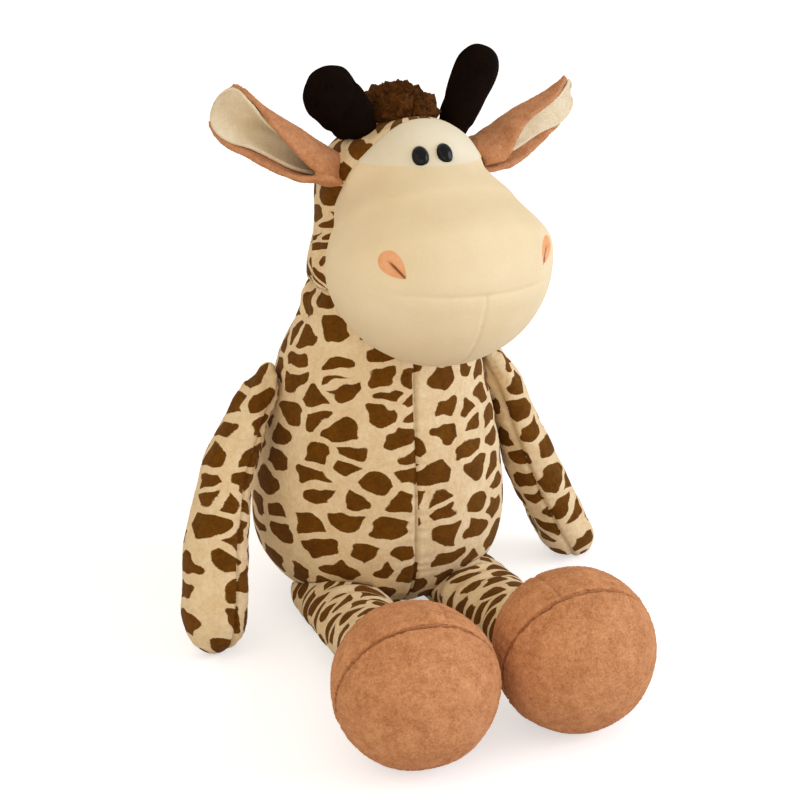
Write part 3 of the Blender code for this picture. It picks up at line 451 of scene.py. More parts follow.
def back_form(local):
    """The printed back of the head, in the head's frame."""
    height = local[:, 2]
    level = np.minimum(height, CROWN_START)
    shift = BACK_SHIFT(height)
    middle = np.stack([np.zeros(len(local)), shift, level], axis=1)
    dome = np.maximum(0, (height - CROWN_START) / CROWN_ROUNDING)
    x = local[:, 0] / BACK_HALF_WIDTH(level)
    y = (local[:, 1] - shift) / BACK_HALF_DEPTH(level)
    return np.maximum(np.sqrt(x ** 2 + y ** 2 + dome ** 2), 1e-6), middle


FACE_TILT = math.radians(FACE_TILT_DEG)
FACE_TOP = np.array((0, FACE_TOP_BACK, FACE_TOP_HEIGHT))
FACE_DOWN = np.array((0, -math.sin(FACE_TILT), -math.cos(FACE_TILT)))
FACE_FRONT = np.array((0, -math.cos(FACE_TILT), math.sin(FACE_TILT)))
FACE_HALF_WIDTH = curve(list(zip(FACE_PLACES, FACE_HALF_WIDTHS)))
FACE_HALF_DEPTH = curve(list(zip(FACE_PLACES, FACE_HALF_DEPTHS)))
FACE_SHIFT = curve(list(zip(FACE_PLACES, FACE_SHIFTS)))


def face_form(local):
    """The face, in the head's frame: a pear along its own spine."""
    place = (local - FACE_TOP) @ FACE_DOWN
    level = np.clip(place, BROW_ROUNDING, FACE_LENGTH - CHIN_ROUNDING)
    shift = FACE_SHIFT(place)
    middle = FACE_TOP + level[:, None] * FACE_DOWN + shift[:, None] * FACE_FRONT
    across = local[:, 0] / FACE_HALF_WIDTH(place)
    forward = ((local - middle) @ FACE_FRONT) / FACE_HALF_DEPTH(place)
    top = np.maximum(0, 1 - place / BROW_ROUNDING)
    chin = np.maximum(0, 1 - (FACE_LENGTH - place) / CHIN_ROUNDING)
    return np.maximum(np.sqrt(across ** 2 + forward ** 2 + top ** 2 + chin ** 2), 1e-6), middle


def depth_in(form, local):
    """How far outside a form each place lies, less than nothing inside it."""
    out, middle = form(local)
    return np.linalg.norm(local - middle, axis=1) * (1 - 1 / out)


def head_field(local):
    """How far outside the head each place lies; the face runs smoothly into the back of the head."""
    face, back = depth_in(face_form, local), depth_in(back_form, local)
    low = np.clip((FILLET_HEIGHT - local[:, 2]) / FILLET_FADE, 0, 1) * ease(local[:, 2], 0.044, 0.062)
    fillet = CROWN_FILLET + (CHEEK_FILLET - CROWN_FILLET) * low
    near = np.maximum(fillet - np.abs(face - back), 0) / fillet
    return np.minimum(face, back) - near ** 2 * fillet / 4


def slope_of(field, local):
    step = 0.1 * MM
    slopes = [(field(local + way) - field(local - way)) / (2 * step) for way in np.eye(3) * step]
    return np.stack(slopes, axis=1)


def onto(field, local, level=0.0, steps=4):
    """Places moved straight to a field's skin."""
    for _ in range(steps):
        slope = slope_of(field, local)
        length = np.maximum((slope ** 2).sum(axis=1), 0.05)
        local = local - ((field(local) - level) / length)[:, None] * slope
    return local


def face_frame(place, offset):
    """Matrix on the face, in the world: Z points out of it and Y up along it."""
    front = FACE_TOP + place * FACE_DOWN + 0.06 * FACE_FRONT
    point = onto(head_field, np.array([front + np.array((offset, 0, 0))]), steps=1)
    for _ in range(12):
        point = onto(head_field, point, steps=1)
        down = (place - (point[0] - FACE_TOP) @ FACE_DOWN) * FACE_DOWN
        point[0] += down + (offset - point[0][0]) * np.eye(3)[0]
    normal = Vector(slope_of(head_field, point)[0]).normalized()
    side = (-Vector(FACE_DOWN)).cross(normal).normalized()
    turn = Matrix((side, normal.cross(side), normal)).transposed().to_4x4()
    return HEAD @ Matrix.Translation(Vector(point[0])) @ turn


def arm_frame(side_name):
    """The arm's frame at its shoulder seam: X out of the chest, -Z down the arm."""
    axis = -AXES[side_name + "_shoulder_swing"]
    lean = Matrix.Rotation(math.atan2(-axis.z, axis.x), 4, "Y")
    swing = Matrix.Rotation(math.radians(-ARM_SWING_DEG[side_name]), 4, "X")
    return Matrix.Translation(JOINTS[side_name + "_shoulder_swing"]) @ lean @ swing


def arm_form(side_name, side):
    half_width = curve(ARM_HALF_WIDTHS)
    half_thickness = curve(ARM_HALF_THICKNESSES[side_name])
    bow = curve(ARM_BOWS[side_name])

    def form(local):
        down = -local[:, 2]
        level = np.clip(down, 0, ARM_LENGTH - HAND_ROUNDING)
        thick = half_thickness(down)
        out = thick + SEAM_GAP + bow(down)
        middle = np.stack([side * out, np.zeros(len(local)), -level], axis=1)
        x = (local[:, 0] - side * out) / thick
        y = local[:, 1] / half_width(down)
        top = np.maximum(0, -down / ARM_ABOVE[side_name])
        tip = np.maximum(0, (down - ARM_LENGTH + HAND_ROUNDING) / HAND_ROUNDING)
        return np.maximum(np.sqrt(x ** 2 + y ** 2 + top ** 2 + tip ** 2), 1e-6), middle

    return form


def leg_frame(side_name):
    """The leg's frame at the hip, whose -Y axis runs down the leg."""
    hip, ankle = JOINTS[side_name + "_hip_swing"], JOINTS[side_name + "_ankle_tilt"]
    return Matrix.Translation(hip) @ (ankle - hip).to_track_quat("-Y", "Z").to_matrix().to_4x4()


def ball_form(radius):
    def form(local):
        return np.maximum(np.linalg.norm(local, axis=1) / radius, 1e-6), np.zeros_like(local)
    return form


def laid_on(piece, form, matrix=None, low=0.93, high=0.975):
    """Lays a cover's outer skin on its smooth form, and gives each vertex's share of skin."""
    matrix = matrix or Matrix.Identity(4)
    local = into(matrix, positions(piece.data))
    out, middle = form(local)
    skin = ease(out, low, high)
    smooth_place = middle + (local - middle) / out[:, None]
    set_positions(piece.data, out_of(matrix, local + (smooth_place - local) * skin[:, None]))
    return skin


def skin_share(piece, form, matrix=None, low=0.93, high=0.975):
    local = into(matrix or Matrix.Identity(4), positions(piece.data))
    return ease(form(local)[0], low, high)


def pushed(piece, amounts):
    """Moves each vertex out along its normal."""
    set_positions(piece.data, positions(piece.data) + normals(piece.data) * amounts[:, None])


def fluffed(piece, depth, seed, weight=1.0):
    """The grain of the pile, one tuft to a vertex."""
    grain = np.random.default_rng(seed).normal(size=len(piece.data.vertices))
    pushed(piece, np.clip(grain, -2, 2) * depth * weight)


def set_cloth(piece, cells, other_cells=None, side=None):
    """Where each corner lies on the printed cloth, in pitches of its spots. Faces on the far side of
    a seam, where side is above zero, are cut from another part of the cloth."""
    mesh = piece.data
    corners = np.empty(len(mesh.loops), np.int32)
    mesh.loops.foreach_get("vertex_index", corners)
    values = cells[corners]
    if side is not None:
        starts = np.empty(len(mesh.polygons), np.int32)
        totals = np.empty(len(mesh.polygons), np.int32)
        mesh.polygons.foreach_get("loop_start", starts)
        mesh.polygons.foreach_get("loop_total", totals)
        far = np.repeat(np.add.reduceat(side[corners], starts) > 0, totals)
        values = np.where(far[:, None], other_cells[corners], values)
    flat = np.zeros((len(values), 3))
    flat[:, :2] = values
    attribute = mesh.attributes.new("cloth", "FLOAT_VECTOR", "CORNER")
    attribute.data.foreach_set("vector", flat.astype(np.float32).ravel())


def set_painted_shade(piece, distance, width, weight=1.0):
    """How deep each vertex lies in a seam, fold or crease, for the shade painted into the cloth's colour
    there.
    """
    attribute = piece.data.attributes.new("seam", "FLOAT", "POINT")
    values = weight * np.exp(-(distance / width) ** 2)
    attribute.data.foreach_set("value", values.astype(np.float32))


# Materials


def linear(hex_colour):
    values = [int(hex_colour[i:i + 2], 16) / 255 for i in (0, 2, 4)]
    return [v / 12.92 if v <= 0.04045 else ((v + 0.055) / 1.055) ** 2.4 for v in values] + [1]


def add_node(tree, kind, inputs=None, **settings):
    """Adds a node; inputs gives a socket a value or another node's output."""
    node = tree.nodes.new(kind)
    for name, value in settings.items():
        setattr(node, name, value)
    for key, value in (inputs or {}).items():
        if isinstance(value, bpy.types.NodeSocket):
            tree.links.new(value, node.inputs[key])
        else:
            node.inputs[key].default_value = value
    return node


def new_material(name, roughness, **sockets):
    material = bpy.data.materials.new(name)
    material.use_nodes = True
    shader = material.node_tree.nodes["Principled BSDF"]
    shader.inputs["Roughness"].default_value = roughness
    for key, value in sockets.items():
        shader.inputs[key.replace("_", " ")].default_value = value
    return material, material.node_tree, shader


def object_place(tree):
    return add_node(tree, "ShaderNodeTexCoord").outputs["Object"]


def soft_noise(tree, place, size, detail=2, roughness=0.5):
    """Noise whose lumps are that many metres across."""
    inputs = {"Vector": place, "Scale": 1 / size, "Detail": detail, "Roughness": roughness}
    return add_node(tree, "ShaderNodeTexNoise", inputs).outputs["Fac"]


def remap(tree, value, low, high, to_low=0.0, to_high=1.0):
    inputs = {"Value": value, "From Min": low, "From Max": high, "To Min": to_low, "To Max": to_high}
    return add_node(tree, "ShaderNodeMapRange", inputs).outputs["Result"]


def math_node(tree, operation, first, second):
    return add_node(tree, "ShaderNodeMath", {0: first, 1: second}, operation=operation).outputs[0]


def mixed(tree, share, first, second):
    """Mix of two colours, each a hex value or a socket."""
    inputs = {0: share}
    for key, colour in ((6, first), (7, second)):
        inputs[key] = linear(colour) if isinstance(colour, str) else colour
    return add_node(tree, "ShaderNodeMix", inputs, data_type="RGBA").outputs[2]


def add_bump(tree, shader, height, depth, strength=1.0):
    bump = add_node(tree, "ShaderNodeBump", {"Height": height, "Distance": depth, "Strength": strength})
    tree.links.new(bump.outputs["Normal"], shader.inputs["Normal"])


def pile_height(tree, place, pile):
    """Tufts of the pile: a fine cellular grain broken up by noise."""
    fine = soft_noise(tree, place, pile, 3, 0.65)
    coarse = soft_noise(tree, place, pile * 3, 2)
    return math_node(tree, "ADD", fine, math_node(tree, "MULTIPLY", coarse, 0.5))


def plush(name, light, dark, pile, depth, nap=0.012, roughness=0.95, sheen=0.25, grain=0.5,
          specular=0.2):
    """Short-pile polyester plush: matt, with a grain of tufts and cloudy patches where the nap turns."""
    material, tree, shader = new_material(name, roughness, Sheen_Weight=sheen, Sheen_Roughness=0.5,
                                          Specular_IOR_Level=specular)
    shader.inputs["Sheen Tint"].default_value = linear(light)
    place = object_place(tree)
    tufts = pile_height(tree, place, pile)
    cloud = soft_noise(tree, place, nap, 3, 0.55)
    shade = math_node(tree, "ADD", math_node(tree, "MULTIPLY", remap(tree, tufts, 0.5, 1.0), grain),
                      math_node(tree, "MULTIPLY", remap(tree, cloud, 0.3, 0.7), 1 - grain))
    # Painted shade in seams, folds and creases darkens the base colour.
    tree.links.new(with_painted_shade(tree, mixed(tree, shade, dark, light)), shader.inputs["Base Color"])
    add_bump(tree, shader, tufts, depth)
    return material


def with_painted_shade(tree, colour):
    """The colour with painted shade: darker where a seam or fold draws the pile in and its tufts shade each
    other.
    """
    seam = add_node(tree, "ShaderNodeAttribute", attribute_name="seam").outputs["Fac"]
    # Painted shade: the seam attribute mixes the colour towards this grey brown.
    shade = add_node(tree, "ShaderNodeMix", {0: seam, 6: (1, 1, 1, 1), 7: (0.42, 0.36, 0.30, 1)},
                     data_type="RGBA")
    return add_node(tree, "ShaderNodeMix", {0: 1.0, 6: colour, 7: shade.outputs[2]}, data_type="RGBA",
                    blend_type="MULTIPLY").outputs[2]


def printed_plush():
    """Velboa, a short-pile plush, printed with brown giraffe spots on cream: crisp rounded spots whose
    edges fray by a tuft's width, darker where the nap turns away, with a fine grain all over."""
    material, tree, shader = new_material("printed_velboa_plush", 0.95,
                                          Sheen_Weight=0.05, Sheen_Roughness=0.5,
                                          Specular_IOR_Level=0.15)
    shader.inputs["Sheen Tint"].default_value = linear("F3E4C4")
    place = object_place(tree)
    cloth = add_node(tree, "ShaderNodeAttribute", attribute_name="cloth").outputs["Vector"]
    wave = add_node(tree, "ShaderNodeTexNoise",
                    {"Vector": cloth, "Scale": 1.3, "Detail": 1.0, "Roughness": 0.5},
                    noise_dimensions="2D")
    centred = add_node(tree, "ShaderNodeVectorMath", {0: wave.outputs["Color"], 1: (0.5, 0.5, 0.5)},
                       operation="SUBTRACT").outputs[0]
    bent = add_node(tree, "ShaderNodeVectorMath", {0: centred, 1: (0.5, 0.5, 0), 2: cloth},
                    operation="MULTIPLY_ADD").outputs[0]
    fray = add_node(tree, "ShaderNodeTexNoise", {"Vector": place, "Scale": 1 / (0.8 * MM), "Detail": 1.0})
    frayed = add_node(tree, "ShaderNodeVectorMath", {0: fray.outputs["Color"], 1: (0.05, 0.05, 0), 2: bent},
                      operation="MULTIPLY_ADD").outputs[0]
    cells = {"Vector": frayed, "Scale": 1.0, "Randomness": 0.9}
    nearest = add_node(tree, "ShaderNodeTexVoronoi", cells, feature="F1", voronoi_dimensions="2D")
    edge = add_node(tree, "ShaderNodeTexVoronoi", cells, feature="DISTANCE_TO_EDGE", voronoi_dimensions="2D")
    lot = add_node(tree, "ShaderNodeSeparateColor", {"Color": nearest.outputs["Color"]}).outputs[0]
    round_edge = math_node(tree, "SUBTRACT", 0.66, nearest.outputs["Distance"])
    inside = add_node(tree, "ShaderNodeMath", {0: edge.outputs["Distance"], 1: round_edge, 2: 0.12},
                      operation="SMOOTH_MIN").outputs[0]
    limit = remap(tree, lot, 0, 1, 0.105, 0.165)
    spot = remap(tree, math_node(tree, "SUBTRACT", inside, limit), -0.012, 0.012)
    tufts = pile_height(tree, place, 0.75 * MM)
    cloud = soft_noise(tree, place, 9 * MM, 3, 0.55)
    shade = math_node(tree, "ADD", math_node(tree, "MULTIPLY", remap(tree, tufts, 0.5, 1.0), 0.6),
                      math_node(tree, "MULTIPLY", remap(tree, cloud, 0.3, 0.7), 0.4))
    ground = mixed(tree, shade, "DCBC8A", "F4E3C0")
    brown = mixed(tree, shade, "4C2B02", "7A4B06")
    # Painted shade in the seams darkens the printed colour.
    tree.links.new(with_painted_shade(tree, mixed(tree, spot, ground, brown)), shader.inputs["Base Color"])
    add_bump(tree, shader, tufts, 0.30 * MM)
    return material


def horn_velvet():
    """Polyester velvet, near black: almost no light from its face, and no sheen."""
    return plush("dark_polyester_velvet", "170B04", "060301", 0.5 * MM, 0.12 * MM, nap=6 * MM, sheen=0.0,
                 specular=0.05)


def faux_fur():
    """Acrylic faux fur: brown strands of one colour from root to tip, darker in the lock's shade."""
    material, tree, shader = new_material("acrylic_faux_fur", 0.8, Specular_IOR_Level=0.08)
    place = object_place(tree)
    lock = soft_noise(tree, place, 3 * MM, 2)
    strand = soft_noise(tree, place, 0.45 * MM, 1)
    shade = math_node(tree, "ADD", math_node(tree, "MULTIPLY", remap(tree, lock, 0.3, 0.7), 0.6),
                      math_node(tree, "MULTIPLY", remap(tree, strand, 0.3, 0.7), 0.4))
    tree.links.new(mixed(tree, shade, "200E03", "6E4218"), shader.inputs["Base Color"])
    return material


def eye_plastic():
    """Moulded ABS, black and polished: a clear gloss with faint mould marks."""
    material, tree, shader = new_material("polished_black_abs", 0.06, IOR=1.5, Specular_IOR_Level=0.18)
    place = object_place(tree)
    fleck = soft_noise(tree, place, 0.6 * MM, 2)
    tree.links.new(mixed(tree, remap(tree, fleck, 0.55, 0.75), "050403", "120E0A"),
                   shader.inputs["Base Color"])
    add_bump(tree, shader, soft_noise(tree, place, 1.5 * MM, 2), 0.05 * MM, 0.4)
    return material


def washer_plastic():
    """Moulded polyethylene, natural white: satin, with a faint grain from the mould."""
    material, tree, shader = new_material("natural_polyethylene", 0.45, IOR=1.51)
    fleck = soft_noise(tree, object_place(tree), 0.8 * MM, 2)
    tree.links.new(mixed(tree, fleck, "E6E6E0", "F4F4F0"), shader.inputs["Base Color"])
    add_bump(tree, shader, fleck, 0.05 * MM)
    return material


def sewing_thread(name, light, dark):
    """Spun polyester thread: matt, with a twist too fine to show."""
    material, tree, shader = new_material(name, 0.8, Specular_IOR_Level=0.3)
    twist = soft_noise(tree, object_place(tree), 0.4 * MM, 1)
    tree.links.new(mixed(tree, twist, dark, light), shader.inputs["Base Color"])
    return material


PRINT = printed_plush()
CREAM = plush("cream_velboa_plush", "F1E1BF", "E7D4AC", 0.6 * MM, 0.10 * MM,
              nap=30 * MM, sheen=0.1, grain=0.35)
PALE = plush("pale_velboa_plush", "ECE6D1", "E4DBC0", 0.6 * MM, 0.10 * MM, nap=30 * MM, sheen=0.1, grain=0.35)
TAN = plush("tan_crystal_plush", "EAAC7C", "A8693D", 1.0 * MM, 0.6 * MM, nap=9 * MM, sheen=0.15, grain=0.65)
EAR_BACK = plush("tan_ear_plush", "DBA277", "A5683F", 0.8 * MM, 0.4 * MM, nap=7 * MM, sheen=0.15, grain=0.6)
LINING = plush("cream_ear_plush", "F1E6CE", "DCC9A4", 0.8 * MM, 0.25 * MM, nap=9 * MM, sheen=0.1, grain=0.5)
PEACH = plush("peach_velboa_plush", "F7BC8E", "E3A06C", 0.5 * MM, 0.12 * MM, nap=5 * MM, sheen=0.1)
VELVET = horn_velvet()
FUR = faux_fur()
EYE = eye_plastic()
WASHER = washer_plastic()
DARK_THREAD = sewing_thread("brown_polyester_thread", "8A5230", "5A3018")


def finish_piece(piece, material, body, nodes=(), bend=None):
    """Dresses a piece and puts it on its body; given a bend (the second body and the two ends of the bend),
    it only bakes its place into its mesh and leaves it on no body.
    """
    piece.data.materials.clear()
    piece.data.materials.append(material)
    piece.data.shade_smooth()
    if bend:
        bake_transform(piece)
    else:
        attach(piece, body)
    if nodes:
        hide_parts(*nodes)
    return piece


# Torso


def round_cloth(piece, angle, radius, down, shift, sizes=(SPOT_WIDTH, SPOT_HEIGHT), panels=True):
    """Wraps the print round a piece. The half with the angle past a quarter turn either way is cut from
    another part of the cloth when the piece has two panels."""
    far = np.mod(angle, math.tau)
    cells = np.stack([angle * radius / sizes[0], down / sizes[1]], axis=1) + np.array(shift)
    other = np.stack([far * radius / sizes[0], down / sizes[1]], axis=1) + np.array(shift)
    if panels:
        other += np.array((5.37, 3.21))
    set_cloth(piece, cells, other, np.abs(angle) - math.pi / 2)


def torso_seam(places):
    """Distance from the centre seams, front and back, which wander a little."""
    return places[:, 0] - TORSO_X(places[:, 2]) + 0.0012 * np.sin(places[:, 2] / 0.031)


# The head's body and two places on the neck, passed as the bend of the torso and the neck's mane
NECK_BEND = ("head", Vector((NECK.x, NECK.y, 0.128)), Vector((NECK.x, NECK.y, 0.160)))


def make_torso():
    hips = [ball("hip", JOINTS[side_name + "_hip_swing"], HIP_BALL_RADIUS + 3 * SEAM_GAP)
            for side_name, _ in SIDES]
    piece = remeshed(joined("body_cover", [copy_of("body", "body")] + hips), 2.2 * MM)
    out = torso_form(positions(piece.data))[0]
    skin = laid_on(piece, torso_form)
    places = positions(piece.data)
    bulge = out > 1
    middle = torso_form(places)[1]
    places[bulge] = middle[bulge] + (places[bulge] - middle[bulge]) / torso_form(places)[0][bulge][:, None]
    set_positions(piece.data, places)
    seam = np.abs(torso_seam(places))
    sewn = np.maximum(1 - skin, np.exp(-(seam / (2 * MM)) ** 2))
    piece = filled(piece, sewn, 1.6 * MM)
    piece = subdivided(piece)
    places = positions(piece.data)
    skin = skin_share(piece, torso_form, low=0.95, high=0.985)
    seam = torso_seam(places)
    middle = torso_form(places)[1]
    angle = np.arctan2(places[:, 0] - middle[:, 0], middle[:, 1] - places[:, 1])
    height = places[:, 2]
    push = sewn_line(np.abs(seam), 1.3 * MM, 1.1 * MM)
    push += gathers(np.abs(seam), height, 0.35 * MM, 6.5 * MM, 9 * MM)
    push += 0.7 * MM * lumps(places, 26 * MM, 1)
    collar = np.exp(-((height - NECK_JOIN) / (11 * MM)) ** 2)
    push += 0.6 * MM * collar * np.sin(angle * 19 + height / (9 * MM) + 2 * lumps(places, 20 * MM, 5))
    push += 2.1 * MM * np.exp(-((height - NECK_JOIN - 1 * MM) / (5 * MM)) ** 2)
    low = ease(height, 0.0, 4 * MM)
    pushed(piece, push * skin * low)
    fluffed(piece, 0.05 * MM, SEED, skin * low)
    places = positions(piece.data)
    places[:, 2] = np.maximum(places[:, 2], 0)
    set_positions(piece.data, places)
    under = np.arctan2(np.maximum(0, BELLY_HEIGHT - height), np.hypot(places[:, 0], places[:, 1]))
    level = np.where(height > BELLY_HEIGHT, height, BELLY_HEIGHT - 0.055 * under)
    turned = angle - math.pi / 2
    turned = np.where(turned < -math.pi, turned + math.tau, turned)
    round_cloth(piece, turned, 0.056, level, (0.2, 0.55))
    # Painted shade along the centre seams, front and back.
    set_painted_shade(piece, seam, 0.9 * MM, 0.55)
    return finish_piece(piece, PRINT, "torso", ["body"], NECK_BEND)


# Head


BROW_UP = np.array((0, math.sin(math.radians(BROW_SEAM_TILT_DEG)),
                    math.cos(math.radians(BROW_SEAM_TILT_DEG))))
PANEL_LINE = curve(PANEL_EDGE)
NOSTRIL_FRAMES = {side: face_frame(NOSTRIL_PLACE, side * NOSTRIL_OFFSET) for _, side in SIDES}


def head_seams(local):
    """How far the head cover sinks at its seams: round the cream panels, at the brow, mouth and chin."""
    brow = np.abs((local - np.array((0, FACE_TOP_BACK, BROW_SEAM_HEIGHT))) @ BROW_UP)
    mouth = np.abs(local[:, 2] - MOUTH_SEAM_HEIGHT)
    edge = local[:, 1] - PANEL_LINE(local[:, 2])
    front = ease(-edge, 0, 2 * MM)
    middle = 1 - ease(np.abs(local[:, 0]), 0.018, 0.048)
    below = ease(MOUTH_SEAM_HEIGHT - local[:, 2], -1 * MM, 1 * MM)
    push = sewn_line(edge, 0.6 * MM, 1.2 * MM)
    push += sewn_line(brow, 0.10 * MM, 0.9 * MM) * front
    push += sewn_line(mouth, 0.55 * MM, 1.1 * MM) * front * (0.25 + 0.75 * middle)
    push += sewn_line(np.abs(local[:, 0]), 0.45 * MM, 1.0 * MM) * below * front
    return push + 0.3 * MM * np.exp(-((mouth - 5 * MM) / (4 * MM)) ** 2) * front * middle


def dimples(places):
    """The muzzle drawn in round each nostril."""
    push = np.zeros(len(places))
    for _, side in SIDES:
        local = into(NOSTRIL_FRAMES[side], places)
        away = np.linalg.norm(local * np.array((1, 1, 0.5)), axis=1)
        push -= NOSTRIL_DIMPLE * np.exp(-(away / (6.5 * MM)) ** 2)
    return push


def head_skin(local):
    near = np.minimum(depth_in(face_form, local), depth_in(back_form, local))
    return ease(near, -3.0 * MM, -1.6 * MM)


def laid_on_head(piece):
    local = positions(piece.data)
    skin = head_skin(local)
    set_positions(piece.data, local + (onto(head_field, local) - local) * skin[:, None])
    return skin


def halved(name, piece, point, way, ahead):
    """The part of a closed cover on one side of a plane, closed again along the cut."""
    shell = bmesh.new()
    shell.from_mesh(piece.data)
    geometry = shell.verts[:] + shell.edges[:] + shell.faces[:]
    bmesh.ops.bisect_plane(shell, geom=geometry, dist=0, plane_co=point, plane_no=way,
                           clear_inner=ahead, clear_outer=not ahead)
    rim = [edge for edge in shell.edges if edge.is_boundary]
    for edge in rim:
        edge.smooth = False
    bmesh.ops.triangle_fill(shell, edges=rim, use_beauty=False)
    bmesh.ops.recalc_face_normals(shell, faces=shell.faces)
    mesh = bpy.data.meshes.new(name)
    shell.to_mesh(mesh)
    shell.free()
    return link(name, mesh)


def leaned(piece, way):
    """Leans the head so that the cream panels' edge lies in one plane, or back again."""
    local = positions(piece.data)
    local[:, 1] += way * PANEL_LINE(local[:, 2])
    set_positions(piece.data, local)
    return piece


def head_cover():
    """The whole head as one smooth cover, in the head's frame, with the lines of its seams."""
    nodes = ("head_back", "forehead", "muzzle", "right_chin", "left_chin")
    piece = remeshed(joined("head_cover", [copy_of(node, node, 0.35 * MM) for node in nodes]), 1.7 * MM)
    set_positions(piece.data, into(HEAD, positions(piece.data)))
    skin = laid_on_head(piece)
    softened(piece.data, 3, skin)
    laid_on_head(piece)
    piece = subdivided(piece)
    skin = laid_on_head(piece)
    local = positions(piece.data)
    turn = np.arctan2(local[:, 0], -local[:, 1])
    height = local[:, 2]
    behind = ease(local[:, 1] - PANEL_LINE(height), 0, 5 * MM)
    collar = np.exp(-((height - RIM_HEIGHT - 10 * MM) / (14 * MM)) ** 2)
    push = 1.0 * MM * collar * behind * np.sin(turn * 16 + (height - RIM_HEIGHT) / (5 * MM))
    push += sewn_line(height - RIM_HEIGHT, 0.5 * MM, 1.6 * MM) * behind
    push += TEMPLE_FULLNESS * np.exp(-((height - 66 * MM) / (17 * MM)) ** 2) * behind * np.abs(np.sin(turn))
    push += head_seams(local) + 0.4 * MM * lumps(local, 28 * MM, 3)
    pushed(piece, push * skin + dimples(out_of(HEAD, local)))
    fluffed(piece, 0.03 * MM, SEED + 1, skin)
    return piece


def make_head():
    cover = leaned(head_cover(), -1)
    back = leaned(halved("head_back_cover", cover, (0, 0, 0), (0, 1, 0), True), 1)
    front = leaned(halved("front", cover, (0, 0, 0), (0, 1, 0), False), 1)
    brow = ((0, FACE_TOP_BACK, BROW_SEAM_HEIGHT), BROW_UP)
    mouth = ((0, 0, MOUTH_SEAM_HEIGHT), (0, 0, 1))
    forehead = halved("forehead_panel", front, *brow, True)
    lower = halved("lower", front, *brow, False)
    muzzle = halved("muzzle_panel", lower, *mouth, True)
    jaw = halved("jaw", lower, *mouth, False)
    chins = {side: halved(name + "_chin_panel", jaw, (0, 0, 0), (side, 0, 0), True) for name, side in SIDES}
    for spent in (cover, front, lower, jaw):
        bpy.data.objects.remove(spent, do_unlink=True)
    local = positions(back.data)
    turn = np.arctan2(-local[:, 0], local[:, 1] - BACK_SHIFT(local[:, 2]))
    height = local[:, 2]
    squeeze = 1 + 1.3 * np.exp(-((height - RIM_HEIGHT - 12 * MM) / (14 * MM)) ** 2)
    set_cloth(back, np.stack([turn * squeeze * 0.038 / SPOT_WIDTH, height / SPOT_HEIGHT], axis=1) + 2.6)
    for piece in (back, forehead, muzzle, *chins.values()):
        set_positions(piece.data, out_of(HEAD, positions(piece.data)))
    finish_piece(back, PRINT, "head", ["head_back"])
    finish_piece(forehead, PALE, "head", ["forehead"])
    finish_piece(muzzle, CREAM, "head", ["muzzle"])
    for name, side in SIDES:
        finish_piece(chins[side], CREAM, "head", [name + "_chin"])


def make_eye(side_name, side):
    """A domed oval with a turned edge, on its stem."""
    spot = face_frame(EYE_PLACE, EYE_SHIFT + side * EYE_SPACING / 2)
    profile = [(1.00, -0.0005), (1.04, -0.0001), (1.04, 0.0003), (0.98, 0.0007)]
    profile += [(math.cos(a) * 0.95, 0.0007 + (EYE_DOME - 0.0007) * math.sin(a))
                for a in np.linspace(0.05, math.pi / 2, 14)]
    stem = EYE_STEM / EYE_HALF_WIDTH
    profile = [(0.0, -0.010), (stem, -0.010), (stem, -0.0005)] + profile
    columns = 48
    points = []
    for share, level in profile:
        for j in range(columns):
            turn = math.tau * j / columns
            wide = EYE_HALF_WIDTH if share > stem else EYE_HALF_WIDTH
            tall = EYE_HALF_HEIGHT if share > stem else EYE_HALF_WIDTH
            points.append(spot @ Vector((wide * share * math.cos(turn),
                                         tall * share * math.sin(turn), level)))
    piece = mesh_piece(side_name + "_eye_dome", points, grid_faces(len(profile), columns, True))
    finish_piece(piece, EYE, "head", [side_name + "_eye"])


EYE_STEM = 0.0016


def nostril_drop(turn, share, side):
    """A place in the drop outline, in the nostril's frame."""
    wide = NOSTRIL_WIDTH / 2 * NOSTRIL_TAPER * math.sin(turn) * math.sin(turn / 2) ** NOSTRIL_TAPER
    flat = Vector((NOSTRIL_LENGTH / 2 * math.cos(turn), wide, 0)) * share
    flat.x += NOSTRIL_LENGTH * 0.12 * (share - 1)
    return Matrix.Rotation(math.radians(-90 - side * NOSTRIL_TILT_DEG), 3, "Z") @ flat


def on_face(matrix, flats):
    """The places on the head's skin behind points of a frame that lies on it, drawn in as it is."""
    local = onto(head_field, into(HEAD, out_of(matrix, np.array(flats))))
    places = out_of(HEAD, local)
    return places, dimples(places)


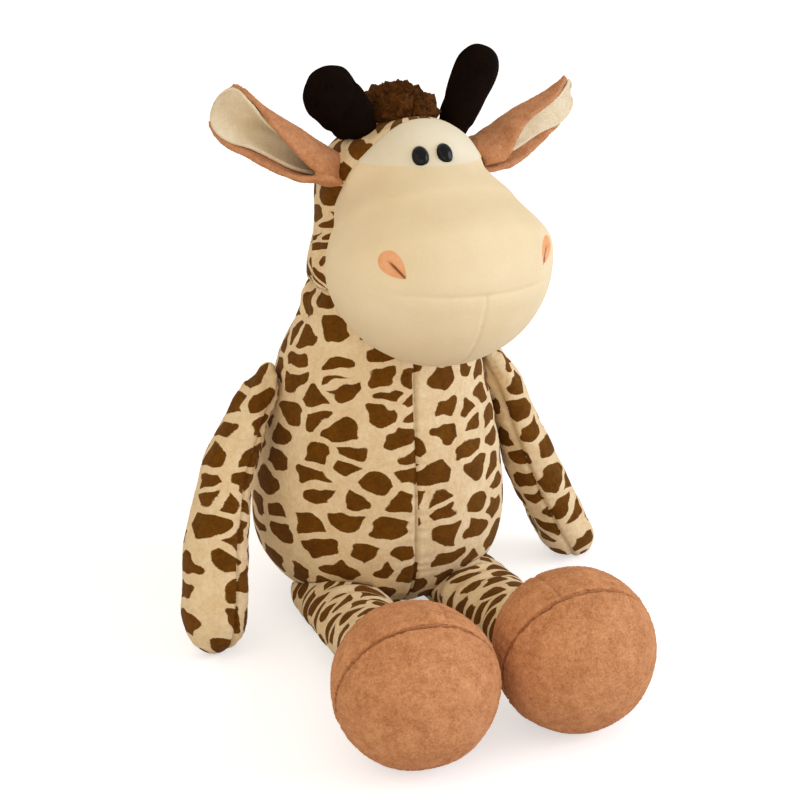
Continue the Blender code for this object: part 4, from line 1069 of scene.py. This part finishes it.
def make_nostril(side_name, side):
    """A peach patch in the muzzle, drawn in along a stitched line from its middle to its point."""
    matrix = NOSTRIL_FRAMES[side]
    out = np.array((matrix.to_3x3() @ Vector((0, 0, 1))).normalized())
    rows, columns = 22, 72
    turns = [math.tau * j / columns for j in range(columns)]
    flats = np.array([nostril_drop(turn, i / rows, side) for i in range(rows + 1) for turn in turns])
    share = np.repeat(np.arange(rows + 1) / rows, columns)
    places, dent = on_face(matrix, flats)
    line = np.array(nostril_drop(0, 1, side) - nostril_drop(math.pi, 0.35, side))
    along = flats @ line / (line @ line)
    off = np.linalg.norm(flats - along[:, None] * line, axis=1)
    crease = np.exp(-(off / (0.8 * MM)) ** 2) * ease(along, -0.45, -0.1) * (1 - share ** 6)
    puff = 0.75 * MM * (1 - share ** 4)
    level = dent + puff - 0.7 * MM * crease + 0.2 * MM - 0.3 * MM * share ** 8
    points = np.concatenate([places + out * (dent - 1.6 * MM)[:, None], places + out * level[:, None]])
    size = (rows + 1) * columns
    faces = grid_faces(rows + 1, columns, True)
    faces += [tuple(index + size for index in reversed(face)) for face in grid_faces(rows + 1, columns, True)]
    edge = [rows * columns + j for j in range(columns)]
    faces += [(a, b, b + size, a + size) for a, b in zip(edge, edge[1:] + edge[:1])]
    piece = subdivided(mesh_piece(side_name + "_nostril_patch", points, faces))
    flats = into(matrix, positions(piece.data))
    along = flats[:, :2] @ line[:2] / (line @ line)
    off = np.linalg.norm(flats[:, :2] - along[:, None] * line[:2], axis=1)
    # Painted shade along the nostril's crease, from its middle to its point.
    set_painted_shade(piece, off, 0.7 * MM, ease(along, -0.4, 0))
    finish_piece(piece, PEACH, "head", [side_name + "_nostril"])
    make_thread_line(side_name, side, matrix, out)


def make_thread_line(side_name, side, matrix, out):
    """The thread that draws the nostril in: one long stitch to the point and one short one across."""
    middle = nostril_drop(math.pi, 0.25, side)
    point = nostril_drop(0, 0.98, side)
    across = nostril_drop(math.pi * 1.35, 0.7, side)
    pieces = []
    for start, end in ((middle, point), (middle, across)):
        shares = np.arange(9) / 8
        places, dent = on_face(matrix, [start.lerp(end, share) for share in shares])
        level = dent + 0.25 * MM + 0.1 * MM * np.sin(math.pi * shares)
        path = [Vector(place) for place in places + out * level[:, None]]
        pieces.append(tube("thread", path, 0.22 * MM))
    piece = joined(side_name + "_nostril_thread", pieces)
    finish_piece(piece, DARK_THREAD, "head")


def tube(name, path, radius, sides=8):
    """A closed tube along a path, thinned to nothing at both ends."""
    points = []
    for i, place in enumerate(path):
        ahead = (path[min(i + 1, len(path) - 1)] - path[max(i - 1, 0)]).normalized()
        across = ahead.orthogonal().normalized()
        along = ahead.cross(across)
        size = radius * math.sin(math.pi * (0.08 + 0.84 * i / (len(path) - 1)))
        for j in range(sides):
            turn = math.tau * j / sides
            points.append(place + across * size * math.cos(turn) + along * size * math.sin(turn))
    faces = grid_faces(len(path), sides, True)
    faces += [tuple(range(sides)), tuple(len(points) - sides + j for j in range(sides))]
    return mesh_piece(name, points, faces)


# Horns


def horn_frame(side_name):
    lean = Matrix.Rotation(math.radians(HORN_LEAN_DEG[side_name]), 4, "Y")
    turn = HEAD.to_3x3().to_4x4()
    return Matrix.Translation(JOINTS[side_name + "_horn_bend"]) @ turn @ lean


def make_horn(side_name, side):
    """Two velvet paddles sewn together round their edge, softly filled."""
    matrix = horn_frame(side_name)
    horn_length, half_width = HORN_LENGTH[side_name], HORN_HALF_WIDTH[side_name]
    shoulder = horn_length - half_width
    swell = curve([(0, HORN_ROOT_RADIUS), (0.004, HORN_FOOT_HALF_WIDTH[side_name]), (shoulder, half_width)])
    thick = curve([(0, HORN_ROOT_RADIUS), (shoulder, HORN_HALF_THICKNESS)])
    rows, columns = 64, 88
    points = []
    for i in range(rows + 1):
        turn = math.pi * i / rows
        length = horn_length + HORN_ROOT_RADIUS
        level = -HORN_ROOT_RADIUS + length * (1 - math.cos(turn)) / 2
        root = math.sqrt(max(0, 1 - min(0, level / HORN_ROOT_RADIUS) ** 2))
        past = max(0, (level - shoulder) / half_width)
        tip = math.sqrt(max(0, 1 - past ** 2))
        width = float(swell(level)) * root * tip
        depth = float(thick(level)) * root * tip
        for j in range(columns):
            angle = math.tau * j / columns
            x = math.cos(angle)
            flat = ease(level, 0.004, 0.016)
            pinch = abs(math.sin(angle)) ** (0.45 * float(flat))
            y = math.sin(angle) * pinch
            rim = 0.5 * MM * math.exp(-(math.sin(angle) / 0.10) ** 2) * float(flat)
            stitch = 0.5 * MM * math.exp(-((abs(x) - 0.86) / 0.05) ** 2) * float(flat) * tip
            hollow = 0.6 * MM * math.exp(-(x / 0.55) ** 2) * float(ease(level, 0.012, 0.024)) * tip
            depth_here = max(0, depth * abs(y) - stitch - hollow) * (1 if y > 0 else -1)
            points.append(matrix @ Vector(((width + rim) * x, depth_here, level)))
    piece = mesh_piece(side_name + "_horn_velvet", points, grid_faces(rows + 1, columns, True))
    piece = subdivided(piece)
    places = positions(piece.data)
    local = into(matrix, places)
    push = 0.45 * MM * lumps(local, 7 * MM, 4 + side)
    fold = (local[:, 2] - 0.014 - 0.35 * local[:, 0]) / (2.2 * MM)
    push -= (0.9 if side < 0 else 0.35) * MM * np.exp(-fold ** 2)
    pushed(piece, push * ease(local[:, 2], 0.002, 0.010))
    finish_piece(piece, VELVET, side_name + "_horn", [side_name + "_horn"])


# Ears


def ear_frame(side_name, side):
    sweep = Matrix.Rotation(math.radians(side * EAR_SWEEP_DEG[side_name]), 4, "Z")
    lift = Matrix.Rotation(math.radians(-side * EAR_LIFT_DEG[side_name]), 4, "Y")
    return Matrix.Translation(JOINTS[side_name + "_ear_flop"]) @ HEAD.to_3x3().to_4x4() @ sweep @ lift


EAR_WIDTH = curve(EAR_HALF_WIDTHS)
EAR_LOWER_CURL = {name: curve(stations) for name, stations in EAR_LOWER_CURL_DEG.items()}
EAR_UPPER_CURL = {name: curve(stations) for name, stations in EAR_UPPER_CURL_DEG.items()}
EAR_TIP_SHARE = 0.25


def ear_half_width(share):
    """Half the width of the ear's cloth along its curl."""
    past = np.clip((share - EAR_TIP_START_SHARE) / (1 - EAR_TIP_START_SHARE), 0, 1)
    return EAR_WIDTH(share) * (EAR_TIP_SHARE + (1 - EAR_TIP_SHARE) * np.sqrt(1 - past ** 2))


def ear_places(side_name, side, share, across, level):
    """Places on the ear, that far out from its inner face, and the way out there."""
    curl = np.radians(np.where(across > 0, EAR_UPPER_CURL[side_name](share),
                               EAR_LOWER_CURL[side_name](share)))
    half = ear_half_width(share) * np.where(across > 0, 1, EAR_LOWER_SHARE[side_name])
    y, z = np.zeros_like(share), np.zeros_like(share)
    steps = 32
    for k in range(steps):
        angle = curl * np.tanh(EAR_FOLD * across * (k + 0.5) / steps) / math.tanh(EAR_FOLD)
        z += half * across / steps * np.cos(angle)
        y -= half * across / steps * np.sin(angle)
    angle = curl * np.tanh(EAR_FOLD * across) / math.tanh(EAR_FOLD)
    out = np.stack([np.zeros_like(share), np.cos(angle), np.sin(angle)], axis=1)
    return np.stack([side * EAR_LENGTH[side_name] * share, y, z], axis=1) + out * level[:, None]


EAR_FOLD = 1.5


def ear_sheet(name, side_name, side, ends, trim, levels):
    """A closed sheet between two levels out from the ear's inner face; trim narrows it along its length."""
    rows, columns = 72, 44
    share = np.repeat(np.linspace(*ends, rows + 1), columns + 1)
    across = np.tile(np.linspace(-1, 1, columns + 1), rows + 1)
    across = across * trim(share, across)
    layers = [ear_places(side_name, side, share, across, level(share, across)) for level in levels]
    size = (rows + 1) * (columns + 1)
    step = columns + 1
    inner = grid_faces(rows + 1, columns + 1, False)
    faces = inner + [tuple(index + size for index in reversed(face)) for face in inner]
    edge = list(range(columns)) + [i * step + columns for i in range(rows)]
    edge += [rows * step + j for j in range(columns, 0, -1)] + [i * step for i in range(rows, 0, -1)]
    faces += [(a, b, b + size, a + size) for a, b in zip(edge, edge[1:] + edge[:1])]
    return mesh_piece(name, out_of(ear_frame(side_name, side), np.concatenate(layers)), faces)


def ear_bend(side_name, side):
    """The ear is sewn to the head at its root: the ear's body and two places out from its root."""
    matrix = ear_frame(side_name, side)
    ends = [matrix @ Vector((side * reach, 0, 0)) for reach in (2 * MM, 22 * MM)]
    return side_name + "_ear", *ends


def make_ear(side_name, side):
    matrix = ear_frame(side_name, side)

    def outer_face(share, across):
        edge = 1 - np.abs(across) ** 4
        pleat = 1.0 * MM * np.cos(across * 7) * np.exp(-((share - 0.12) / 0.12) ** 2)
        return EAR_THICKNESS + 0.9 * MM * edge * np.sin(math.pi * np.minimum(1, share * 1.1)) + pleat

    def inner_face(share, across):
        return -0.4 * MM * np.exp(-((np.abs(across) - 1) / 0.10) ** 2)

    back = ear_sheet("back", side_name, side, (-0.12, 0.955), lambda share, across: 1.0,
                     (inner_face, outer_face))
    rolls = []
    for edge in (-1.0, 1.0):
        share = np.linspace(-0.05, 0.80, 60)
        path = ear_places(side_name, side, share, share * 0 + edge, share * 0 + EAR_THICKNESS * 0.5)
        rolls.append(tube("roll", [Vector(place) for place in out_of(matrix, path)], 1.5 * MM, 12))
    root = ball("root", matrix.translation, EAR_ROOT_RADIUS)
    whole = remeshed(joined(side_name + "_ear_back", [back, root] + rolls), 0.75 * MM)
    softened(whole.data, 3)
    local = into(matrix, positions(whole.data))
    pushed(whole, 0.35 * MM * lumps(local, 8 * MM, 16 + side))
    fluffed(whole, 0.09 * MM, SEED + 10 + side)
    bend = ear_bend(side_name, side)
    finish_piece(whole, EAR_BACK, "head", [side_name + "_ear"], bend)

    def lining_back(share, across):
        return np.full_like(share, -LINING_GAP)

    def lining_front(share, across):
        puff = 0.5 * MM * np.sin(math.pi * np.abs(across)) * np.sin(math.pi * share)
        fold = 0.9 * MM * np.exp(-((across - 0.15) / 0.12) ** 2) * (1 - ease(share, 0.5, 0.9))
        return -LINING_GAP - LINING_THICKNESS - puff + fold

    def trim(share, across):
        return np.where(across > 0, curve(LINING_UPPER_EDGE)(share), curve(LINING_LOWER_EDGE)(share))

    lining = subdivided(ear_sheet("lining", side_name, side, (0.02, 1), trim, (lining_front, lining_back)))
    lining.name = side_name + "_ear_lining_plush"
    fluffed(lining, 0.07 * MM, SEED + 12 + side)
    local = into(matrix, positions(lining.data))
    # Painted shade in the hollow along the lining's fold, through the seam attribute.
    fold = local[:, 2] - 1.2 * MM + 0.2 * (side * local[:, 0] - 30 * MM)
    set_painted_shade(lining, fold, 2.6 * MM, 0.4 * (1 - ease(side * local[:, 0], 30 * MM, 55 * MM)))
    finish_piece(lining, LINING, "head", [side_name + "_ear_lining"], bend)


def ball(name, centre, radius, rows=16, columns=24):
    points = []
    for i in range(rows + 1):
        turn = math.pi * i / rows
        for j in range(columns):
            angle = math.tau * j / columns
            way = Vector((math.sin(turn) * math.cos(angle), math.sin(turn) * math.sin(angle), math.cos(turn)))
            points.append(centre + way * radius)
    return mesh_piece(name, points, grid_faces(rows + 1, columns, True))


# Fur


def fur_tree(material):
    """Strands over a skin: bent, tapered and three-sided, with a lean and a length that vary."""
    tree = bpy.data.node_groups.new("fur_strands", "GeometryNodeTree")
    tree.interface.new_socket("Geometry", in_out="INPUT", socket_type="NodeSocketGeometry")
    for name in ("Density", "Length", "Thickness", "Lean", "Spread"):
        tree.interface.new_socket(name, in_out="INPUT", socket_type="NodeSocketFloat")
    tree.interface.new_socket("Seed", in_out="INPUT", socket_type="NodeSocketInt")
    tree.interface.new_socket("Geometry", in_out="OUTPUT", socket_type="NodeSocketGeometry")
    given = add_node(tree, "NodeGroupInput").outputs
    points = add_node(tree, "GeometryNodeDistributePointsOnFaces",
                      {"Mesh": given["Geometry"], "Density": given["Density"], "Seed": given["Seed"]})
    strand = add_node(tree, "GeometryNodeCurveQuadraticBezier",
                      {"Resolution": 3, "Start": (0, 0, 0), "Middle": (0, 0, 0.55), "End": (0.25, 0, 1)})
    along = add_node(tree, "GeometryNodeSplineParameter").outputs["Factor"]
    taper = add_node(tree, "ShaderNodeMapRange",
                     {"Value": along, "To Min": 1.0, "To Max": 0.15}).outputs["Result"]
    thick = add_node(tree, "ShaderNodeMath", {0: taper, 1: given["Thickness"]},
                     operation="MULTIPLY").outputs[0]
    tapered = add_node(tree, "GeometryNodeSetCurveRadius", {"Curve": strand.outputs[0], "Radius": thick})
    ring = add_node(tree, "GeometryNodeCurvePrimitiveCircle", {"Resolution": 3, "Radius": 1.0})
    blade = add_node(tree, "GeometryNodeCurveToMesh",
                     {"Curve": tapered.outputs[0], "Profile Curve": ring.outputs[0], "Fill Caps": True})
    low = add_node(tree, "ShaderNodeVectorMath", {0: (-1, -1, -1), "Scale": given["Spread"]},
                   operation="SCALE")
    high = add_node(tree, "ShaderNodeVectorMath", {0: (1, 1, 1), "Scale": given["Spread"]}, operation="SCALE")
    tilt = add_node(tree, "FunctionNodeRandomValue",
                    {0: low.outputs[0], 1: high.outputs[0], "Seed": given["Seed"]},
                    data_type="FLOAT_VECTOR").outputs[0]
    place = add_node(tree, "GeometryNodeInputPosition").outputs[0]
    lock = add_node(tree, "ShaderNodeTexNoise", {"Vector": place, "Scale": 1 / LOCK_SIZE, "Detail": 0.0})
    centred = add_node(tree, "ShaderNodeVectorMath", {0: lock.outputs["Color"], 1: (0.5, 0.5, 0.5)},
                       operation="SUBTRACT").outputs[0]
    gathered = add_node(tree, "ShaderNodeVectorMath", {0: centred, "Scale": 3.5},
                        operation="SCALE").outputs[0]
    tilt = add_node(tree, "ShaderNodeVectorMath", {0: tilt, 1: gathered}, operation="ADD").outputs[0]
    back = add_node(tree, "ShaderNodeCombineXYZ", {"Y": given["Lean"]}).outputs[0]
    leaned = add_node(tree, "ShaderNodeVectorMath", {0: points.outputs["Normal"], 1: back}, operation="ADD")
    way = add_node(tree, "ShaderNodeVectorMath", {0: leaned.outputs[0], 1: tilt}, operation="ADD")
    turned = add_node(tree, "FunctionNodeAlignRotationToVector", {"Vector": way.outputs[0]}, axis="Z")
    spin = add_node(tree, "FunctionNodeRandomValue", {2: 0.0, 3: math.tau, "Seed": 3},
                    data_type="FLOAT").outputs[1]
    spun = add_node(tree, "FunctionNodeAxisAngleToRotation", {"Axis": (0, 0, 1), "Angle": spin}).outputs[0]
    rotation = add_node(tree, "FunctionNodeRotateRotation",
                        {"Rotation": turned.outputs[0], "Rotate By": spun}, rotation_space="LOCAL").outputs[0]
    size = add_node(tree, "FunctionNodeRandomValue", {2: 0.7, 3: 1.0, "Seed": 5},
                    data_type="FLOAT").outputs[1]
    size = math_node(tree, "MULTIPLY", size, remap(tree, lock.outputs["Fac"], 0.35, 0.65, 0.75, 1.2))
    scale = math_node(tree, "MULTIPLY", size, given["Length"])
    placed = add_node(tree, "GeometryNodeInstanceOnPoints",
                      {"Points": points.outputs["Points"], "Instance": blade.outputs[0],
                       "Rotation": rotation, "Scale": scale})
    real = add_node(tree, "GeometryNodeRealizeInstances", {"Geometry": placed.outputs[0]})
    dressed = add_node(tree, "GeometryNodeSetMaterial", {"Geometry": real.outputs[0], "Material": material})
    add_node(tree, "NodeGroupOutput", {"Geometry": dressed.outputs[0]})
    return tree


LOCK_SIZE = 2.2 * MM
FUR_TREE = fur_tree(FUR)


def fur_on(name, skin, density, length, thickness, lean, spread, seed):
    """Strands that grow on a skin, as a mesh of their own."""
    emitter = link(name, skin.data.copy())
    modifier = emitter.modifiers.new("fur", "NODES")
    modifier.node_group = FUR_TREE
    values = {"Density": density, "Length": length, "Thickness": thickness / length,
              "Lean": lean, "Spread": spread, "Seed": seed}
    for item in FUR_TREE.interface.items_tree:
        if item.in_out == "INPUT" and item.name in values:
            modifier[item.identifier] = values[item.name]
    return baked(emitter)


def make_fur(name, node, body, density, length, lean, spread, shrink, seed, bend=None):
    """A fur strip: its woven backing, drawn in, with strands that reach the height of the pile."""
    skin = remeshed(copy_of(name + "_skin", node), 1.5 * MM)
    softened(skin.data, 3)
    for _ in range(4):
        pushed(skin, np.full(len(skin.data.vertices), -shrink / 4))
        softened(skin.data, 2)
    strands = fur_on(name + "_strands", skin, density, length, 0.10 * MM, lean, spread, seed)
    piece = joined(name, [skin, strands])
    places = positions(piece.data)
    places[:, 2] = np.maximum(places[:, 2], SEAM_GAP)
    set_positions(piece.data, places)
    return finish_piece(piece, FUR, body, [node], bend=bend)


# Arms, legs, feet and tail


def make_arm(side_name, side):
    name = side_name + "_arm"
    matrix = arm_frame(side_name)
    form = arm_form(side_name, side)
    piece = remeshed(copy_of(name + "_cover", name), 1.7 * MM)
    skin = laid_on(piece, form, matrix, 0.3, 0.5)

    def across(local):
        return side * (local[:, 0] - form(local)[1][:, 0]) + ARM_SEAM_INWARD

    off = np.abs(across(into(matrix, positions(piece.data))))
    piece = filled(piece, np.maximum(1 - skin, np.exp(-(off / (1.6 * MM)) ** 2)), 1.2 * MM)
    piece = subdivided(piece)
    local = into(matrix, positions(piece.data))
    skin = ease(form(local)[0], 0.92, 0.97)
    off = np.abs(across(local))
    down = -local[:, 2]
    push = sewn_line(off, 1.3 * MM, 1.1 * MM)
    push += gathers(off, down, 0.35 * MM, 5 * MM, 6 * MM, side)
    turn = np.arctan2(local[:, 1], across(local))
    shoulder = np.exp(-((down - 4 * MM) / (13 * MM)) ** 2)
    push += 0.9 * MM * shoulder * np.sin(turn * 7 + down / (6 * MM))
    push += 1.0 * MM * lumps(local, 15 * MM, 8 + side)
    pushed(piece, push * skin)
    fluffed(piece, 0.05 * MM, SEED + 20 + side, skin)
    places = positions(piece.data)
    places[:, 2] = np.maximum(places[:, 2], SEAM_GAP)
    set_positions(piece.data, places)
    round_cloth(piece, turn, 0.0150, down, (3.3 * side, 1.9), (0.0165, 0.0135))
    # Painted shade along the arm's seam.
    set_painted_shade(piece, off, 0.9 * MM, 0.45)
    return finish_piece(piece, PRINT, name, [name])


LEG_WIDTH, LEG_HEIGHT, LEG_DROP = curve(LEG_WIDTHS), curve(LEG_HEIGHTS), curve(LEG_DROPS)


def leg_places(share, turn, down):
    """Places in the leg's frame: that share out from its middle line, at that turn."""
    x = share * LEG_WIDTH(down) * np.cos(turn)
    z = share * LEG_HEIGHT(down) * np.sin(turn) - LEG_DROP(down)
    return np.stack([x, -down, z], axis=1)


def leg_end(matrix, share, turn, low, high, outside):
    """How far down the leg each line along it crosses a neighbour's skin."""
    low, high = np.full_like(turn, low), np.full_like(turn, high)
    for _ in range(24):
        half = (low + high) / 2
        past = outside(out_of(matrix, leg_places(share, turn, half)))
        low, high = np.where(past, low, half), np.where(past, half, high)
    return (low + high) / 2


def make_leg(side_name, side):
    """A limp tube of printed plush from the body's skin to the foot's, crumpled where it leaves the seat."""
    name = side_name + "_leg"
    matrix = leg_frame(side_name)
    ankle = np.array(JOINTS[side_name + "_ankle_tilt"])
    length = float(np.linalg.norm(ankle - np.array(JOINTS[side_name + "_hip_swing"])))
    rows, columns, rings = 110, 112, 6
    turns = np.arange(columns) * math.tau / columns
    body_at, foot_at = [], []
    for share in np.linspace(0, 1, rings):
        body_at.append(leg_end(matrix, share, turns, -0.03, 0.04, lambda p: torso_form(p)[0] > 1.006))
        foot_at.append(leg_end(matrix, share, turns, 0.06, length - 0.01,
                               lambda p: np.linalg.norm(p - ankle, axis=1) < FOOT_RADIUS + SEAM_GAP))
    layers = [(share, at) for share, at in zip(np.linspace(0, 1, rings), body_at)]
    layers += [(1, body_at[-1] + (foot_at[-1] - body_at[-1]) * i / rows) for i in range(1, rows)]
    layers += [(share, at) for share, at in zip(np.linspace(1, 0, rings), reversed(foot_at))]
    points = np.concatenate([leg_places(share, turns, at) for share, at in layers])
    piece = mesh_piece(name + "_cover", out_of(matrix, points), grid_faces(len(layers), columns, True))
    piece = subdivided(piece)
    local = into(matrix, positions(piece.data))
    down = -local[:, 1]
    turn = np.arctan2(local[:, 2] + LEG_DROP(down), local[:, 0])
    start = np.interp(np.mod(turn, math.tau), turns, body_at[-1], period=math.tau)
    end = np.interp(np.mod(turn, math.tau), turns, foot_at[-1], period=math.tau)
    rim = leg_places(np.ones_like(turn), turn, down)
    round_share = np.linalg.norm(local[:, (0, 2)] + np.stack([0 * down, LEG_DROP(down)], axis=1), axis=1)
    round_share /= np.linalg.norm(rim[:, (0, 2)] + np.stack([0 * down, LEG_DROP(down)], axis=1), axis=1)
    skin = (ease(round_share, 0.9, 0.99) * ease(down - start, 0.3 * MM, 3 * MM)
            * ease(end - down, 0.3 * MM, 3 * MM))
    wander = 0.8 * lumps(local, 18 * MM, 12 + side)
    folds = np.sin(down / (1.9 * MM) + 1.5 * np.sin(turn + side) + 2.4 * wander)
    bunch = 0.4 + 0.6 * np.exp(-((down - start - 14 * MM) / (14 * MM)) ** 2)
    push = 0.8 * MM * folds * bunch + 0.7 * MM * lumps(local, 14 * MM, 14 + side)
    pushed(piece, push * skin)
    fluffed(piece, 0.05 * MM, SEED + 30 + side, skin)
    places = positions(piece.data)
    places[:, 2] = np.maximum(places[:, 2], SEAM_GAP)
    set_positions(piece.data, places)
    slant = down + 3 * MM * np.sin(turn * 2 + side)
    round_cloth(piece, turn, 0.0180, slant, (4.4 * side, 8.2), (0.0180, 0.0088), False)
    bend = [matrix @ Vector((0, -reach, 0)) for reach in (18 * MM, 45 * MM)]
    return finish_piece(piece, PRINT, "torso", [name], (name, *bend))


def foot_frame(side_name):
    hip, ankle = JOINTS[side_name + "_hip_swing"], JOINTS[side_name + "_ankle_tilt"]
    way = ankle - hip
    return Matrix.Translation(ankle) @ Matrix.Rotation(math.atan2(way.x, -way.y), 4, "Z")


FOOT_ROLL_DEG = 20
SOLE_FACING = np.array((0, -math.cos(math.radians(SOLE_TILT_DEG)), -math.sin(math.radians(SOLE_TILT_DEG))))


def make_foot(side_name, side):
    matrix = foot_frame(side_name)
    form = ball_form(FOOT_RADIUS)
    for part, node, seed in (("_foot_upper", "_foot", 40), ("_foot_sole", "_foot_sole", 44)):
        piece = remeshed(copy_of(side_name + part + "_cover", side_name + node), 1.7 * MM)
        laid_on(piece, form, matrix)
        piece = subdivided(piece)
        places = positions(piece.data)
        local = into(matrix, places)
        skin = ease(form(local)[0], 0.95, 0.985)
        sole = local @ SOLE_FACING - SOLE_OFFSET
        push = sewn_line(np.abs(sole), 0.65 * MM, 1.2 * MM)
        turn = np.arctan2(local[:, 0], local[:, 2])
        push += gathers(np.abs(sole), turn * FOOT_RADIUS, 0.28 * MM, 6 * MM, 8 * MM, seed)
        if node == "_foot":
            roll = math.radians(FOOT_ROLL_DEG) * -side
            centre = (np.abs(local[:, 0] * math.cos(roll) - local[:, 2] * math.sin(roll))
                      + 0.02 * (local[:, 2] < 0))
            push += sewn_line(centre, 0.65 * MM, 1.1 * MM) * (1 - np.exp(-(sole / (2 * MM)) ** 2))
            push += gathers(centre, local[:, 1], 0.25 * MM, 5 * MM, 6 * MM, seed + 1)
        push += 0.8 * MM * lumps(local, 22 * MM, seed + side)
        low = ease(places[:, 2], 0.2 * MM, 5 * MM)
        pushed(piece, push * skin * low)
        fluffed(piece, 0.14 * MM, SEED + seed + side, skin * low)
        places = positions(piece.data)
        places[:, 2] = np.maximum(places[:, 2], 0)
        set_positions(piece.data, places)
        # Painted shade along the sole seam, and along the centre seam of the upper.
        seam = np.abs(sole) if node == "_foot_sole" else np.minimum(np.abs(sole), centre)
        set_painted_shade(piece, seam, 0.7 * MM, 0.32)
        finish_piece(piece, TAN, side_name + "_foot", [side_name + node])


def make_tail():
    piece = remeshed(copy_of("tail_cover", "tail"), 1.0 * MM)
    softened(piece.data, 4)
    places = positions(piece.data)
    fluffed(piece, 0.04 * MM, SEED + 50)
    set_cloth(piece, places[:, :2] / SPOT_HEIGHT + 1.7)
    finish_piece(piece, PRINT, "tail", ["tail"])
    make_fur("tail_tuft_fur", "tail_tuft", "tail", 3.5e6, 6.5 * MM, 0.8, 0.25, 3.5 * MM, 23)


def make_mane():
    make_fur("mane_fur", "mane", "head", 5.5e6, 7.0 * MM, 0.15, 0.22, 6.0 * MM, 21)
    make_fur("neck_mane_fur", "neck_mane", "torso", 3.5e6, 7.0 * MM, 0.1, 0.22, 4.5 * MM, 22,
             NECK_BEND)


# Room


def make_room():
    floor = mesh_piece("floor", [(-3, -3, 0), (3, -3, 0), (3, 3, 0), (-3, 3, 0)], [(0, 1, 2, 3)])
    material = bpy.data.materials.new("pale_floor")
    material.use_nodes = True
    tree = material.node_tree
    tree.nodes.clear()
    ray = add_node(tree, "ShaderNodeLightPath").outputs
    seen = math_node(tree, "MAXIMUM", ray["Is Camera Ray"], ray["Is Glossy Ray"])
    matt = add_node(tree, "ShaderNodeBsdfDiffuse", {"Color": linear("E3E5EA")})
    glow = add_node(tree, "ShaderNodeEmission", {"Color": (1, 1, 1, 1), "Strength": 0.55})
    both = add_node(tree, "ShaderNodeAddShader", {0: matt.outputs[0], 1: glow.outputs[0]})
    choice = add_node(tree, "ShaderNodeMixShader", {0: seen, 1: matt.outputs[0], 2: both.outputs[0]})
    add_node(tree, "ShaderNodeOutputMaterial", {"Surface": choice.outputs[0]})
    floor.data.materials.append(material)
    world = bpy.data.worlds.new("studio")
    bpy.context.scene.world = world
    world.use_nodes = True
    tree = world.node_tree
    tree.nodes.clear()
    ray = add_node(tree, "ShaderNodeLightPath").outputs
    seen = math_node(tree, "MAXIMUM", ray["Is Camera Ray"], ray["Is Glossy Ray"])
    seen = math_node(tree, "MAXIMUM", seen, ray["Is Transmission Ray"])
    strength = remap(tree, seen, 0, 1, STUDIO_LEVEL, 1.0)
    colour = mixed(tree, seen, STUDIO_COLOUR, "FFFFFF")
    sky = add_node(tree, "ShaderNodeBackground", {"Color": colour, "Strength": strength})
    add_node(tree, "ShaderNodeOutputWorld", {"Surface": sky.outputs[0]})


STUDIO_LEVEL = 0.70
STUDIO_COLOUR = "FFF3E4"


def add_lamp(name, azimuth, elevation, distance, size, power, colour):
    lamp = bpy.data.lights.new(name, "AREA")
    lamp.size = size
    lamp.energy = power
    lamp.color = linear(colour)[:3]
    holder = bpy.data.objects.new(name, lamp)
    bpy.context.scene.collection.objects.link(holder)
    a, e = math.radians(azimuth), math.radians(elevation)
    back = Vector((math.sin(a) * math.cos(e), -math.cos(a) * math.cos(e), math.sin(e)))
    holder.location = CAMERA_TARGET + back * distance
    holder.rotation_euler = back.to_track_quat("Z", "Y").to_euler()


def make_camera():
    camera = bpy.data.cameras.new("camera")
    holder = bpy.data.objects.new("camera", camera)
    bpy.context.scene.collection.objects.link(holder)
    a, e = math.radians(CAMERA_AZIMUTH), math.radians(CAMERA_ELEVATION)
    back = Vector((math.sin(a) * math.cos(e), -math.cos(a) * math.cos(e), math.sin(e)))
    holder.location = CAMERA_TARGET + back * CAMERA_DISTANCE
    holder.rotation_euler = back.to_track_quat("Z", "Y").to_euler()
    camera.sensor_width = SENSOR
    camera.lens = SENSOR * CAMERA_DISTANCE * PIXELS_PER_METRE / IMAGE_SIDE
    camera.clip_start = 0.05
    bpy.context.scene.camera = holder


def main():
    bpy.context.scene.view_settings.view_transform = "Standard"
    make_camera()
    make_room()
    add_lamp("key", 62, 20, 1.6, 1.0, 12.5, "E4EDFF")
    add_lamp("front", -15, 8, 1.8, 1.6, 6.5, "FFF3E2")
    add_lamp("fill", -65, 30, 1.8, 1.5, 4, "FFEFD6")
    make_torso()
    make_head()
    for side_name, side in SIDES:
        make_eye(side_name, side)
        make_nostril(side_name, side)
        make_horn(side_name, side)
        make_ear(side_name, side)
        make_arm(side_name, side)
        make_leg(side_name, side)
        make_foot(side_name, side)
        NODES[side_name + "_eye_washer"].data.materials.clear()
        NODES[side_name + "_eye_washer"].data.materials.append(WASHER)
    make_tail()
    make_mane()


main()
